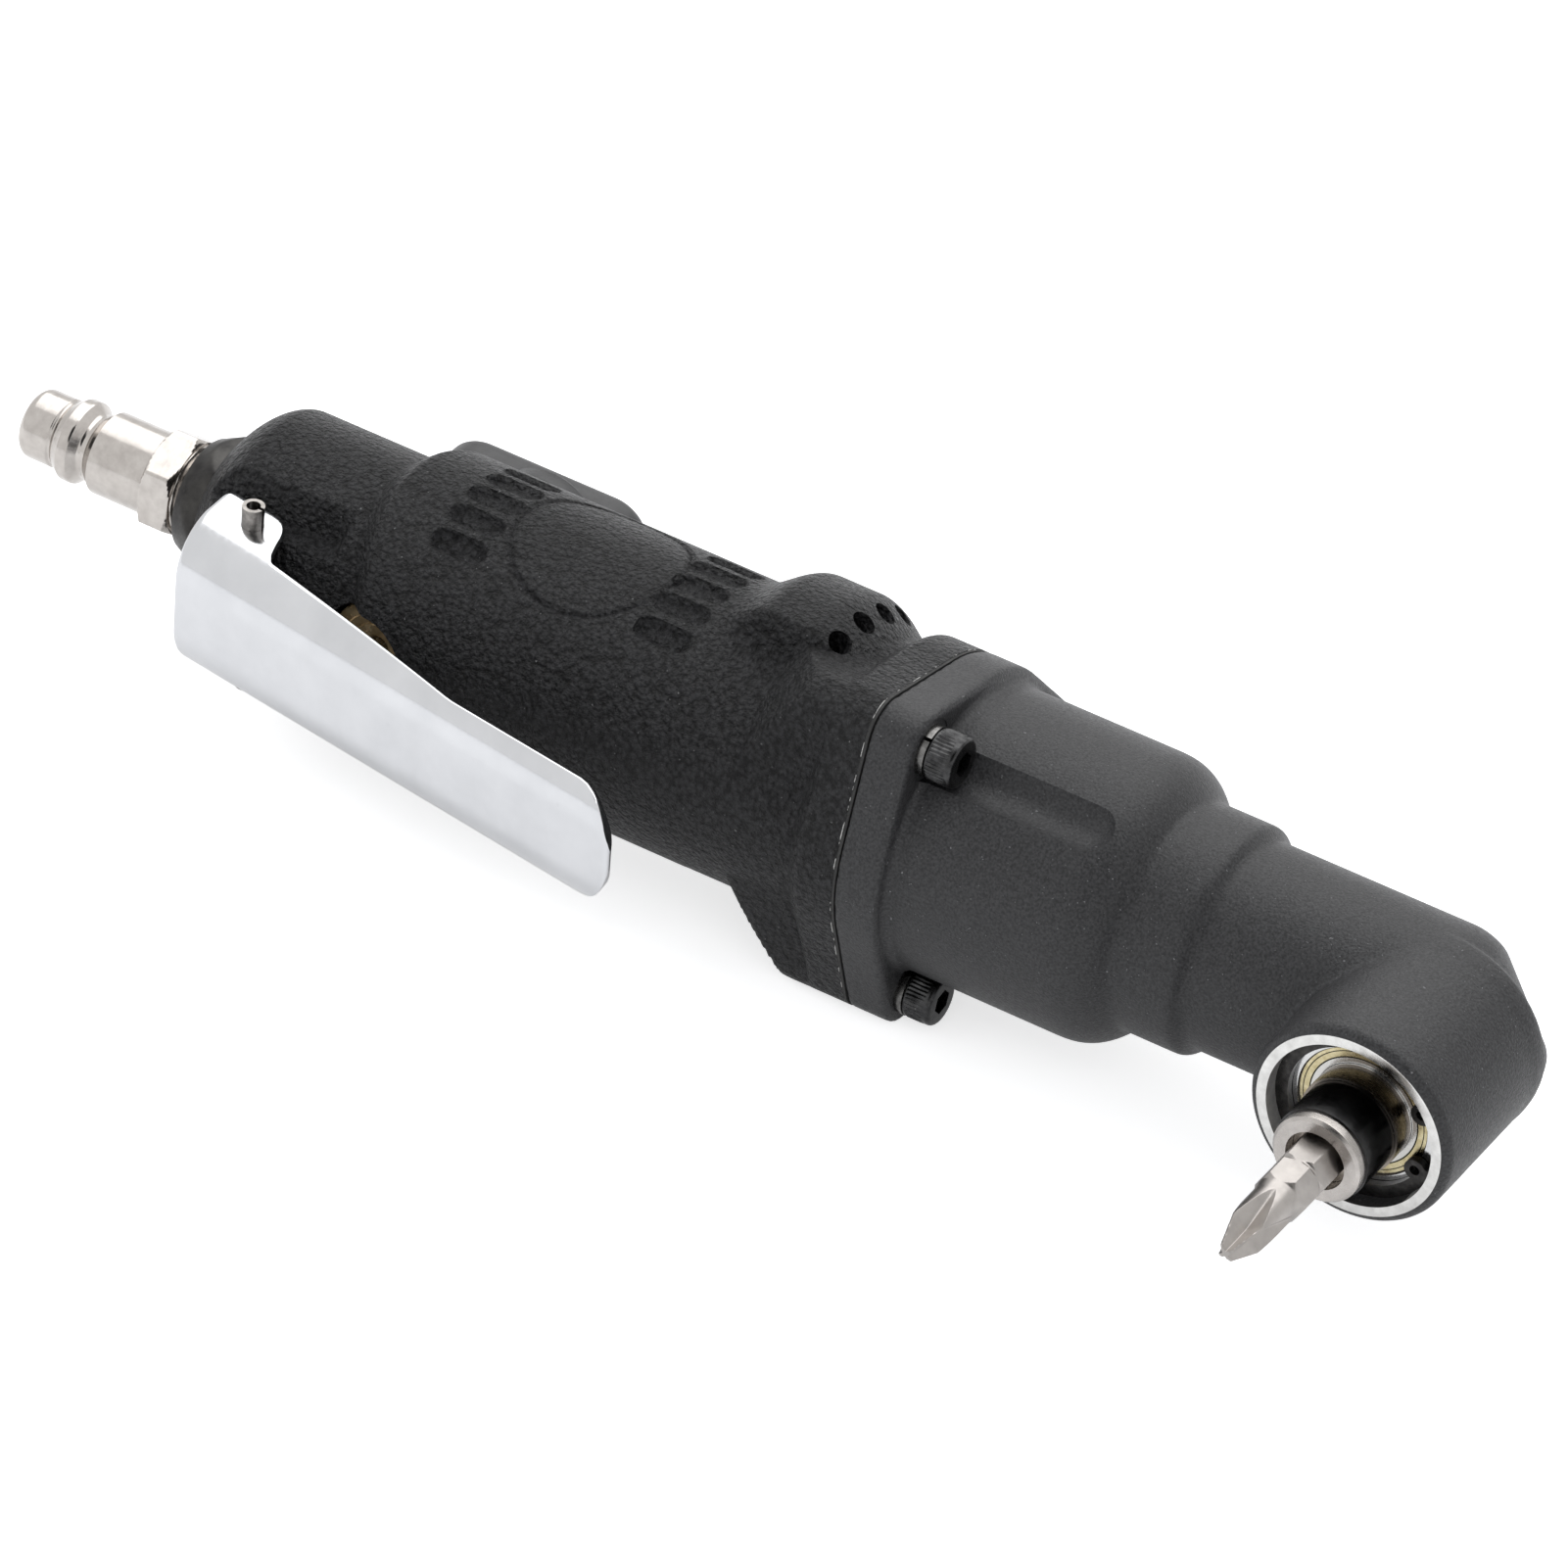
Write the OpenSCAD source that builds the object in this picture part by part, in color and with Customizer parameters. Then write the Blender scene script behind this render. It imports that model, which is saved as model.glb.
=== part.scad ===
// Right-angle air screwdriver with a lever throttle and a reversing knob.
// Millimetres. The origin is the tip of the air plug, on the tool's main axis.
// +X runs along the tool to the angle head, the bit points along -Y, +Z is up.
// Angles round the main axis are counted from +Y towards +Z.

/* [Air plug] */
// Radius of the plug's rounded nose
plug_nose_r = 4.8; // [4.2:0.1:5.2]
// Radius of the locking ridge
plug_ridge_r = 5.7; // [5.4:0.1:6.2]
// Radius of the neck between ridge and body
plug_neck_r = 4.4; // [3.8:0.1:4.6]
// Radius of the plug's body
plug_body_r = 5.7; // [5.3:0.1:6.2]
// Radius of the air passage through the plug
plug_bore_r = 2.9; // [2:0.1:3.2]
// Length of the nose and its groove
plug_nose_len = 5.6; // [5:0.1:7]
// Length from the nose to the front of the body
plug_neck_end = 10.8; // [10:0.1:13]
// Length from the nose to the plug's hexagon
plug_hex_x = 20.6; // [17:0.1:24]
// Width of the plug's hexagon across its flats
plug_hex_af = 13; // [12:0.5:15]
// Thickness of the plug's hexagon
plug_hex_len = 4.6; // [3.5:0.1:6]
// Radius of the plug's pipe thread
plug_thread_r = 6.2; // [5.6:0.1:6.4]
// Thread that stays in sight between the plug's hexagon and the bushing
plug_thread_show = 1.6; // [1:0.1:3]

/* [Inlet bushing] */
// Width of the bushing's hexagon across its flats
bushing_af = 17; // [16:0.5:19]
// Thickness of the bushing's hexagon
bushing_hex_len = 4.8; // [3.5:0.1:7]
// Radius of the bushing's threaded shank in the handle
bushing_shank_r = 8; // [7.4:0.1:8.2]
// Length of the bushing's shank
bushing_shank_len = 12; // [9:0.5:14]

/* [Handle] */
// Radius of the rear block that carries the lever
rear_r = 16; // [15:0.1:17]
// Radius of the grip
grip_r = 19; // [18.2:0.1:20]
// Length of the rear block, from the handle's end face to the shoulder
rear_len = 25; // [22:0.5:27]
// Length of the handle, from its end face to the parting line
handle_len = 104.4; // [102:0.2:108]
// Radius of the motor's bore
motor_bore_r = 15; // [14.6:0.1:15.4]
// Radius of the exhaust bulge
bulge_r = 22.8; // [22:0.1:23.6]
// Half angle that the exhaust bulge covers, either side of +Y
bulge_half_angle = 100; // [80:1:110]
// Radius of each exhaust hole
exhaust_hole_r = 1.35; // [1:0.05:1.6]
// Number of exhaust holes
exhaust_count = 13; // [7:2:13]
// Angle from one exhaust hole to the next
exhaust_pitch_angle = 15.3; // [14:0.1:16]
// Length of a grip slot
slot_len = 7.8; // [6:0.2:9]
// Width of a grip slot
slot_w = 3; // [2:0.1:3.4]
// Depth of the grip slots
slot_depth = 0.8; // [0.4:0.1:1]
// Slots in each group
slot_count = 5; // [3:1:5]
// Angle from one slot to the next
slot_pitch_angle = 13.5; // [12:0.1:15]
// Radius of the round pad between the groups of slots
medallion_r = 11.2; // [9:0.1:12]

/* [Case flange] */
// Radius of the round part of the flange
flange_r = 21.2; // [20.8:0.1:22]
// Thickness of the gear case's flange
flange_len = 6.2; // [5:0.1:7]
// Radius of the circle of screws
bolt_circle_r = 22; // [21.6:0.1:22.6]
// Radius of the ear round each screw
ear_r = 5; // [4.6:0.1:5.6]
// Thickness of the gasket
gasket_len = 0.4; // [0.3:0.1:0.8]
// Radius of the screw's thread
screw_r = 2; // [1.5:0.1:2.2]
// Radius of the screw's head
screw_head_r = 3.5; // [3:0.1:3.8]
// Length of the screw under its head
screw_len = 16; // [12:1:18]

/* [Gear case and angle head] */
// Radius of the gear case
case_r = 19.4; // [19:0.1:20]
// Length of the gear case from its flange to its front shoulder
case_len = 25.2; // [23:0.2:27]
// Radius of the collar in front of the gear case
collar_r = 15.5; // [15:0.1:16.4]
// Radius of the neck
neck_r = 14.1; // [13.6:0.1:14.4]
// Radius of the head's barrel
barrel_r = 14.2; // [13.8:0.1:14.6]
// Distance from the parting line to the axis of the bit
head_dist = 75.5; // [74:0.5:79]
// Distance from the main axis to the rim of the head
rim_dist = 22.5; // [22:0.1:24]

/* [Lever] */
// Sheet thickness of the lever
lever_t = 1.4; // [1:0.1:1.6]
// Half width of the lever at its ears
lever_half_w = 11.4; // [11:0.1:12]
// Half width of the lever near its tip
lever_tip_half_w = 7.8; // [6.5:0.1:9]
// Distance from the lever's pin to its tip
lever_reach = 67; // [58:1:72]
// Radius of the lever's pin
lever_pin_r = 1.5; // [1.2:0.1:1.8]
// Radius of the throttle's brass bushing
throttle_r = 5.4; // [4.8:0.1:5.8]

/* [Reversing knob] */
// Length of the knob's wing
wing_len = 28; // [24:0.5:32]
// Width of the knob's wing
wing_w = 10; // [8:0.5:12]
// Radius of the knob's hub
hub_r = 7.9; // [7:0.1:8.6]
// Distance from the main axis to the knob's outer face
knob_reach = 26.8; // [25:0.2:29]

/* [Motor] */
// Radius of the rotor
rotor_r = 11; // [10:0.1:11.2]
// Distance from the rotor's axis to the cylinder bore's axis
bore_offset = 1.4; // [1:0.1:1.6]
// Radius of the cylinder's bore
cylinder_bore_r = 12.5; // [12.5:0.1:12.8]
// Number of vanes
vane_count = 5; // [4:1:6]

/* [Gears] */
// Module of the planetary gears
gear_module = 0.75; // [0.7:0.01:0.78]
// Module of the bevel gears at their large end
bevel_module = 0.9; // [0.85:0.01:0.92]

/* [Chuck and bit] */
// Width of the bit's hexagon across its flats
bit_af = 6.35; // [6.3:0.01:6.4]
// Distance from the main axis to the tip of the bit
bit_tip_dist = 52.3; // [48:0.1:60]
// Length of the bit
bit_len = 30; // [28:0.5:31]
// Radius of the black sleeve
sleeve_r = 6.45; // [6.3:0.05:6.6]
// Radius of the steel ring on the sleeve's end
nose_ring_r = 6.15; // [5.9:0.05:6.3]
// Distance that the sleeve slides
sleeve_travel = 1.5; // [1:0.1:1.5]

/* [Hidden] */

$fn = 48;
over = 1;              // how far a cut runs past the face that it opens
slack = 0.05;          // radial clearance of a running fit
seat_gap = 0.1;        // end clearance beside a part that turns
hex_corner = 2 / sqrt(3);

// stations along the main axis
bushing_x = plug_hex_x + plug_hex_len + plug_thread_show;
handle_x = bushing_x + bushing_hex_len;
shoulder_x = handle_x + rear_len;
parting_x = handle_x + handle_len;
case_x = parting_x + gasket_len;
flange_face_x = case_x + flange_len;
case_end_x = flange_face_x + case_len;
head_x = parting_x + head_dist;

// shoulders and fillets of the housings
rear_fillet_r = 5.6;
shoulder_len = 3.2;
bulge_len = 19.8;
bulge_from_parting = 29.4;
bulge_rise_len = 6.5;
bulge_slope_len = 5;
bulge_cone_len = 3.5;
bulge_edge = 0.4;
saddle_len = 4.6;
flange_rear_len = 5.4;
ear_slope_len = 9.7;
ear_slope_from_parting = 19.2;
case_slope_len = 5.6;
collar_len = 8.6;
collar_fillet_r = 1.6;
nose_cone_dist = 1.7;
nose_cone_share = 0.895;
barrel_top = 1.2;
rim_bevel = 1.45;
mouth_r = 11.65;

// cross bores of the handle
throttle_dist = 31.2;       // from the handle's end face
reverse_dist = 34.2;
inlet_bore_r = 4.6;
throttle_face_y = 12.4;
throttle_cut_r = 7.2;
throttle_bore_r = 4.4;
throttle_bore_end_y = 6;
reverse_bore_r = 5;
reverse_bore_end_y = 8;
knob_seat_y = 19.2;
port_r = 1.7;
port_y = 11.5;
port_z = 3.2;
bore_seat_gap = 11.2;       // wall between the valve's axis and the motor's seat
bore_seat_x = handle_x + reverse_dist + bore_seat_gap;
exhaust_groove_r = 18.4;
exhaust_groove_len = 9;
exhaust_groove_from_parting = 23.5;
exhaust_hole_len = 5;

// lever and its hinge
lever_pin_dist = 12;
lever_pin_x = handle_x + lever_pin_dist;
lever_pin_y = -14.4;
ear_front_dist = 4.9;
ear_rear_dist = 6.6;
lug_gap = 0.4;
lug_half_w = lever_half_w - lever_t - lug_gap;
lug_r = 3;
lug_cut_y = -9.2;
lug_cut_len = 21;
channel_corner_r = 7.5;
channel_back_dist = 7.7;
lever_slope_angle = 8.9;
edge_slope_angle = 13.7;
edge_start_dist = 5.2;
lever_rear_dist = 6.7;
pin_overhang = 3;
pin_bore_r = 0.95;
pin_slot_w = 0.5;

// bearings: outer radius, bore radius and width of each kind
motor_brg_r = 9.5;
motor_brg_bore_r = 3.5;
motor_brg_len = 6;
motor_brg = [motor_brg_r, motor_brg_bore_r, motor_brg_len];
neck_brg_r = 9.5;
neck_brg_bore_r = 4;
neck_brg_len = 6;
neck_brg = [neck_brg_r, neck_brg_bore_r, neck_brg_len];
spindle_brg_r = 11;
spindle_brg_bore_r = 5;
spindle_brg_len = 6;
spindle_brg = [spindle_brg_r, spindle_brg_bore_r, spindle_brg_len];
race_share = 0.3;
ball_count = 9;
brg_step = 0.2;               // clear space behind a motor bearing

// motor stations
rear_plate_len = 8;
front_plate_len = 8;
clamp_len = 5;
rear_plate_x = bore_seat_x;
cylinder_len = parting_x - clamp_len - front_plate_len - rear_plate_len - bore_seat_x;
cylinder_x = rear_plate_x + rear_plate_len;
front_plate_x = cylinder_x + cylinder_len;
clamp_x = front_plate_x + front_plate_len;
rotor_shaft_r = motor_brg[1];
vane_t = 1.6;
vane_depth = 6;

// planetary stage: the tooth counts let three planets mesh in one position
sun_teeth = 12;
planet_teeth = 12;
planet_count = 3;
sun_r = gear_module * sun_teeth / 2;
planet_r = gear_module * planet_teeth / 2;
planet_dist = sun_r + planet_r;
ring_teeth = sun_teeth + 2 * planet_teeth;
ring_out_r = 16;
ring_len = 13.4;
planet_gap = 1.4;
planet_x = case_x + planet_gap;
planet_len = 9;
pin_r = 1.5;
carrier_gap = 1;
carrier_x = planet_x + planet_len + carrier_gap;
carrier_len = 4.4;
carrier_r = 12.6;

// angle head stations
pinion_teeth = 12;
bevel_teeth = 20;
neck_hub_len = 4.2;
neck_rear_brg_x = carrier_x + carrier_len + neck_hub_len;
neck_brg_dist = 28.5;         // from the bit's axis to the front bearing
neck_front_brg_x = head_x - neck_brg_dist;
pinion_shaft_r = neck_brg[1];
pinion_r = bevel_module * pinion_teeth / 2;
bevel_r = bevel_module * bevel_teeth / 2;
bevel_share = 2 / 3;          // small end of the teeth as a share of the large end
bevel_addendum = 0.55;
bevel_dedendum = 1.1;
flank_steps = 5;
spindle_brg_from_rim = 9.5;
spindle_brg_d = rim_dist - spindle_brg_from_rim;
spindle_r = spindle_brg[1];
spindle_top = 9.8;
spindle_neck_r = 3.9;
bush_len = 5;
bush_r = 5;

// chuck stations, as distances from the main axis
collar_sink = 0.2;
collar_d = rim_dist - collar_sink;
nose_len = 6.3;
nose_end_d = rim_dist + nose_len;
sleeve_end_d = nose_end_d + seat_gap;
ring_from_rim = 8.2;
ring_end_d = rim_dist + ring_from_rim;
chuck_nose_r = 4.9;
bit_rear_d = bit_tip_dist - bit_len;
socket_gap = 0.1;
socket_af = bit_af + socket_gap;
land_gap = 0.4;
land_d = rim_dist + sleeve_travel + land_gap;
land_len = 1;
lock_ball_r = 0.85;

// Places its child with local z along +X, local x along +Y and local y along +Z
module along_x(x) translate([x, 0, 0]) rotate([90, 0, 90]) children();

// Places its child at a distance from the main axis, with local z along -Y, on the axis at x
module toward_bit(x, d) translate([x, -d, 0]) rotate([90, 0, 0]) children();

// Places its child on the +Y side, with local z along +Y
module toward_knob(x, y) translate([x, y, 0]) rotate([-90, 0, 0]) children();

module tube(r_out, r_in, len) difference() {
    cylinder(r = r_out, h = len);
    translate([0, 0, -over]) cylinder(r = r_in, h = len + 2 * over);
}

// A turned part: a profile of [radius, station] points spun round local z
module turned(points) rotate_extrude() polygon(points);

// Points of an arc of an outline, from angle a to angle b in n steps
function arc(cx, cy, r, a, b, n = 6) =
    [for (i = [0:n]) [cx + r * cos(a + (b - a) * i / n), cy + r * sin(a + (b - a) * i / n)]];

// A bar with a round end on each side, along local x
module round_bar(len, w, h) union() {
    translate([(w - len) / 2, -w / 2, 0]) cube([len - w, w, h]);
    for (side = [-1, 1]) translate([side * (len - w) / 2, 0, 0]) cylinder(d = w, h = h);
}

module hexagon(af) circle(d = af * hex_corner, $fn = 6);

// Turned bearing races and balls, from local z = 0
module brg_outer(b) tube(b[0], b[0] - (b[0] - b[1]) * race_share, b[2]);
module brg_inner(b) tube(b[1] + (b[0] - b[1]) * race_share, b[1], b[2]);
module brg_balls(b) {
    ball_r = (b[0] - b[1]) * (1 - 2 * race_share) / 2 - slack / 2;
    for (i = [0:ball_count - 1]) rotate(360 * i / ball_count)
        translate([(b[0] + b[1]) / 2, 0, b[2] / 2]) sphere(r = ball_r);
}

// One tooth of an involute gear along local x, with its tip at radius tip and its root at root.
// Flank points follow the involute of the base circle; thin is cut off the tooth at the pitch circle.
function inv_angle(r, base) = let (a = acos(min(1, base / r))) tan(a) * 180 / PI - a;
function flank(m, z, r, thin) = let (pitch = m * z / 2, base = pitch * cos(pressure_angle),
    rr = max(r, base))
    90 / z - thin / pitch * 90 / PI + inv_angle(pitch, base) - inv_angle(rr, base);
function tooth(m, z, root, tip, thin, steps = 4) =
    let (rs = [for (i = [0:steps]) root + (tip - root) * i / steps])
    concat([for (r = rs) [r * cos(flank(m, z, r, thin)), -r * sin(flank(m, z, r, thin))]],
        [for (i = [steps:-1:0]) [rs[i] * cos(flank(m, z, rs[i], thin)),
            rs[i] * sin(flank(m, z, rs[i], thin))]]);
module gear_outline(m, z, root, tip, thin) {
    circle(r = root + gear_overlap);
    for (i = [0:z - 1]) rotate(360 * i / z) polygon(tooth(m, z, root, tip, thin));
}
pressure_angle = 20;
gear_overlap = 0.05;
tooth_thin = 0.12;
addendum = 0.8;
dedendum = 1.05;
ring_addendum_share = 0.5;

// Flange: a disc, an ear round each screw, and tangent webs from disc to ear
module flange_plate(len) intersection() {
    union() {
        translate([0, 0, -over]) cylinder(r = flange_r, h = len + 2 * over);
        tangent = acos((flange_r - ear_r) / bolt_circle_r);
        for (a = screw_angles) rotate(a) {
            translate([bolt_circle_r, 0, -over]) cylinder(r = ear_r, h = len + 2 * over);
            translate([0, 0, -over]) linear_extrude(len + 2 * over)
                polygon([for (p = [[0, flange_r, 1], [bolt_circle_r, ear_r, 1], [bolt_circle_r, ear_r, -1],
                [0, flange_r, -1]]) [p[0] + p[1] * cos(tangent), p[2] * p[1] * sin(tangent)]]);
        }
    }
    cylinder(r = bolt_circle_r + ear_r + over, h = len);
}
screw_angles = [0, 120, 240];

module at_screws() for (a = screw_angles) rotate(a) translate([bolt_circle_r, 0, 0]) children();

// A rounded step of a turned outline, from radius r0 at station x0 to r1 at x1
function step(r0, x0, r1, x1, n = 8) =
    [for (i = [0:n]) [r0 + (r1 - r0) * (1 - cos(180 * i / n)) / 2, x0 + (x1 - x0) * i / n]];

// A helical spring round local z: one tube swept along a helix with closed ends
module helix(r, wire_r, turns, len, sides = 6, per_turn = 14) {
    rings = turns * per_turn;
    points = [for (i = [0:rings], j = [0:sides - 1]) let (a = 360 * i / per_turn, b = 360 * j / sides,
        z = wire_r + (len - 2 * wire_r) * i / rings)
        [(r + wire_r * cos(b)) * cos(a), (r + wire_r * cos(b)) * sin(a), z + wire_r * sin(b)]];
    sides_faces = [for (i = [0:rings - 1], j = [0:sides - 1]) let (k = (j + 1) % sides)
        each [[i * sides + j, (i + 1) * sides + j, i * sides + k],
            [i * sides + k, (i + 1) * sides + j, (i + 1) * sides + k]]];
    ends = [[for (j = [0:sides - 1]) j], [for (j = [sides - 1:-1:0]) rings * sides + j]];
    polyhedron(points, concat(sides_faces, ends));
}

// Air plug: nickel-plated steel, turned, with a hexagon and a pipe thread
plug_edge_r = 1.4;
plug_groove = 0.4;
ridge_rise = 1.2;
ridge_flat = 1.2;
ridge_fall = 1.6;
body_edge_r = 1;
thread_pitch = 1.34;
thread_depth = 0.5;
crest_start = 0.4;
crest_end = 0.6;
plug_thread_len = 9;
hex_chamfer = 0.7;
plug_hex_turn = 22;

module hex_nut(af, len, turn) intersection() {
    linear_extrude(len) rotate(turn) hexagon(af);
    turned([[0, 0], [af / 2, 0], [af / 2 * hex_corner, hex_chamfer],
        [af / 2 * hex_corner, len - hex_chamfer],
        [af / 2, len], [0, len]]);
}

module air_plug() color([0.78, 0.76, 0.73]) along_x(0) difference() {
    ridge_x = plug_nose_len + ridge_rise;
    body_x = plug_neck_end + body_edge_r;
    thread_x = plug_hex_x + plug_hex_len;
    union() {
        turned(concat([[0, 0]], arc(plug_nose_r - plug_edge_r, plug_edge_r, plug_edge_r, -90, 0),
            [[plug_nose_r, plug_nose_len - 2 * plug_groove],
                [plug_nose_r - plug_groove, plug_nose_len - plug_groove],
            [plug_nose_r - plug_groove, plug_nose_len]],
            step(plug_nose_r, plug_nose_len, plug_ridge_r, ridge_x, 4),
            step(plug_ridge_r, ridge_x + ridge_flat, plug_neck_r, ridge_x + ridge_flat + ridge_fall, 5),
            [[plug_neck_r, plug_neck_end], [plug_body_r - body_edge_r, plug_neck_end]],
            arc(plug_body_r - body_edge_r, body_x, body_edge_r, -90, 0),
            [[plug_body_r, plug_hex_x + over], [0, plug_hex_x + over]]));
        translate([0, 0, plug_hex_x]) hex_nut(plug_hex_af, plug_hex_len, plug_hex_turn);
        turned(concat([[0, thread_x - over], [plug_thread_r - thread_depth, thread_x - over]],
            [for (i = [0:floor(plug_thread_len / thread_pitch) - 1]) each
                [[plug_thread_r - thread_depth, thread_x + i * thread_pitch],
                [plug_thread_r, thread_x + (i + crest_start) * thread_pitch],
                [plug_thread_r, thread_x + (i + crest_end) * thread_pitch]]],
            [[plug_thread_r - thread_depth, thread_x + plug_thread_len], [0, thread_x + plug_thread_len]]));
    }
    translate([0, 0, -over]) cylinder(r = plug_bore_r, h = thread_x + plug_thread_len + 2 * over);
}

// Inlet bushing: black steel reducer, screwed into the handle's end face
bushing_bore_len = 9.4;
screen_len = 0.8;
screen_hole_r = 0.7;
screen_rings = 2;
screen_ring_share = 1 / 2.6;   // pitch of the rings of holes as a share of the bore's radius

module inlet_bushing() color([0.12, 0.12, 0.12]) along_x(bushing_x) difference() {
    union() {
        hex_nut(bushing_af, bushing_hex_len, 0);
        cylinder(r = bushing_shank_r, h = bushing_hex_len + bushing_shank_len);
    }
    translate([0, 0, -over]) cylinder(r = plug_thread_r + slack, h = bushing_bore_len + over);
    cylinder(r = inlet_bore_r, h = bushing_hex_len + bushing_shank_len + over);
}

// Inlet screen: a perforated disc between the plug's thread and the bushing's step
module inlet_screen() color("gold") along_x(bushing_x + bushing_bore_len - screen_len) difference() {
    cylinder(r = plug_thread_r, h = screen_len);
    for (ring = [1:screen_rings], i = [0:6 * ring - 1]) rotate(60 * i / ring)
        translate([ring * inlet_bore_r * screen_ring_share, 0, -over])
            cylinder(r = screen_hole_r, h = screen_len + 2 * over);
}

// Handle: one aluminium casting with the lever's lug, the exhaust bulge and the flange
exhaust_angle = 45;
chamber_end_angle = 5;
knob_pad_r = 8.6;
medallion_groove = 0.5;
rear_slot_from_shoulder = 14.2;
front_slot_from_shoulder = 45.6;
medallion_from_shoulder = 29.7;
throttle_x = handle_x + throttle_dist;
reverse_x = handle_x + reverse_dist;

module handle_body() union() {
    along_x(0) {
        turned(concat([[0, handle_x]],
            arc(rear_r - rear_fillet_r, handle_x + rear_fillet_r, rear_fillet_r, -90, 0),
            step(rear_r, shoulder_x, grip_r, shoulder_x + shoulder_len),
            step(grip_r, parting_x - flange_rear_len - saddle_len, flange_r - slack,
                parting_x - flange_rear_len),
            [[flange_r - slack, parting_x], [0, parting_x]]));
        translate([0, 0, parting_x - flange_rear_len]) flange_plate(flange_rear_len);
        bulge_x = parting_x - bulge_from_parting;
        rotate(-bulge_half_angle) rotate_extrude(angle = 2 * bulge_half_angle)
            polygon(concat([[motor_bore_r + over, bulge_x]],
                step(grip_r - slack, bulge_x, bulge_r, bulge_x + bulge_rise_len),
                [[bulge_r, bulge_x + bulge_len - bulge_slope_len],
                    [bulge_r - bulge_edge, bulge_x + bulge_len - bulge_cone_len],
                [grip_r - slack, bulge_x + bulge_len], [motor_bore_r + over, bulge_x + bulge_len]]));
        intersection() {
            slope_x = parting_x - ear_slope_from_parting;
            translate([0, 0, slope_x]) for (a = screw_angles) rotate(a) {
                translate([bolt_circle_r, 0, 0]) cylinder(r = ear_r - slack,
                    h = ear_slope_from_parting - over);
                translate([motor_bore_r + over, slack - ear_r, 0])
                    cube([bolt_circle_r - motor_bore_r - over, 2 * (ear_r - slack),
                        ear_slope_from_parting - over]);
            }
            turned([[0, slope_x], [grip_r - slack, slope_x],
                [bolt_circle_r + ear_r + over, slope_x + ear_slope_len],
                [bolt_circle_r + ear_r + over, parting_x], [0, parting_x]]);
        }
    }
    translate([lever_pin_x, lever_pin_y, -lug_half_w]) {
        cylinder(r = lug_r, h = 2 * lug_half_w);
        translate([-lug_r, 0, 0]) cube([2 * lug_r, lug_r - lug_cut_y, 2 * lug_half_w]);
    }
    toward_knob(reverse_x, reverse_bore_end_y) cylinder(r = knob_pad_r,
        h = knob_seat_y - reverse_bore_end_y);
}

// Recesses of the grip: two groups of slots and a round pad, above and below
module grip_marks() intersection() {
    along_x(shoulder_x) tube(grip_r + over, grip_r - slot_depth, parting_x - shoulder_x);
    for (side = [0, 180]) rotate([side, 0, 0]) {
        for (group = [rear_slot_from_shoulder, front_slot_from_shoulder], i = [0:slot_count - 1])
            translate([shoulder_x + group, 0, 0])
                rotate([(i - (slot_count - 1) / 2) * slot_pitch_angle, 0, 0]) round_bar(slot_len, slot_w, grip_r + over);
        translate([shoulder_x + medallion_from_shoulder, 0, 0])
            tube(medallion_r, medallion_r - medallion_groove, grip_r + over);
    }
}

module handle_housing() color([0.13, 0.13, 0.13]) difference() {
    handle_body();
    grip_marks();
    // flats beside the lug, where the lever's ears swing
    for (side = [0, 1]) mirror([0, 0, side]) translate([handle_x - over, -grip_r - over, lug_half_w])
        cube([lug_cut_len + over, grip_r + over + lug_cut_y, grip_r]);
    // spot face and bore of the throttle
    toward_bit(throttle_x, throttle_face_y) cylinder(r = throttle_cut_r, h = grip_r);
    toward_bit(throttle_x, -throttle_bore_end_y) cylinder(r = throttle_bore_r,
        h = throttle_bore_end_y + grip_r);
    // bore of the reversing valve, and the passages round it
    toward_knob(reverse_x, reverse_bore_end_y) cylinder(r = reverse_bore_r, h = grip_r);
    toward_knob((throttle_x + reverse_x) / 2, 0) cylinder(r = port_r, h = reverse_bore_end_y + over);
    for (side = [-1, 1]) along_x(reverse_x) translate([port_y, side * port_z, 0])
        cylinder(r = port_r, h = bore_seat_x - reverse_x + over);
    along_x(reverse_x) translate([detent_y, 0, 0]) cylinder(r = detent_r + slack,
        h = bore_seat_x - reverse_x + over);
    along_x(0) {
        translate([0, 0, handle_x - over]) cylinder(r = inlet_bore_r, h = throttle_x - handle_x + over);
        translate([0, 0, handle_x - over]) cylinder(r = bushing_shank_r + slack,
            h = bushing_shank_len + slack + over);
        translate([0, 0, bore_seat_x]) cylinder(r = motor_bore_r, h = parting_x - bore_seat_x + over);
        // exhaust chamber under the bulge, and its holes
        groove_x = parting_x - exhaust_groove_from_parting;
        chamber_half_angle = bulge_half_angle - chamber_end_angle;
        rotate(-chamber_half_angle) rotate_extrude(angle = 2 * chamber_half_angle)
            translate([motor_bore_r - over, groove_x])
                square([exhaust_groove_r - motor_bore_r + over, exhaust_groove_len]);
        for (i = [0:exhaust_count - 1]) rotate((i - (exhaust_count - 1) / 2) * exhaust_pitch_angle)
            translate([(grip_r + bulge_r - bulge_edge) / 2, 0,
                parting_x - bulge_from_parting + bulge_len - bulge_cone_len / 2])
                rotate([0, exhaust_angle, 0]) translate([0, 0, -exhaust_hole_len])
                    cylinder(r = exhaust_hole_r, h = 2 * exhaust_hole_len);
        at_screws() translate([0, 0, screw_seat_x - screw_len - over])
            cylinder(r = screw_r + slack, h = screw_len);
    }
    translate([lever_pin_x, lever_pin_y, -lug_half_w - over])
        cylinder(r = lever_pin_r, h = 2 * (lug_half_w + over));
}

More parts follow.
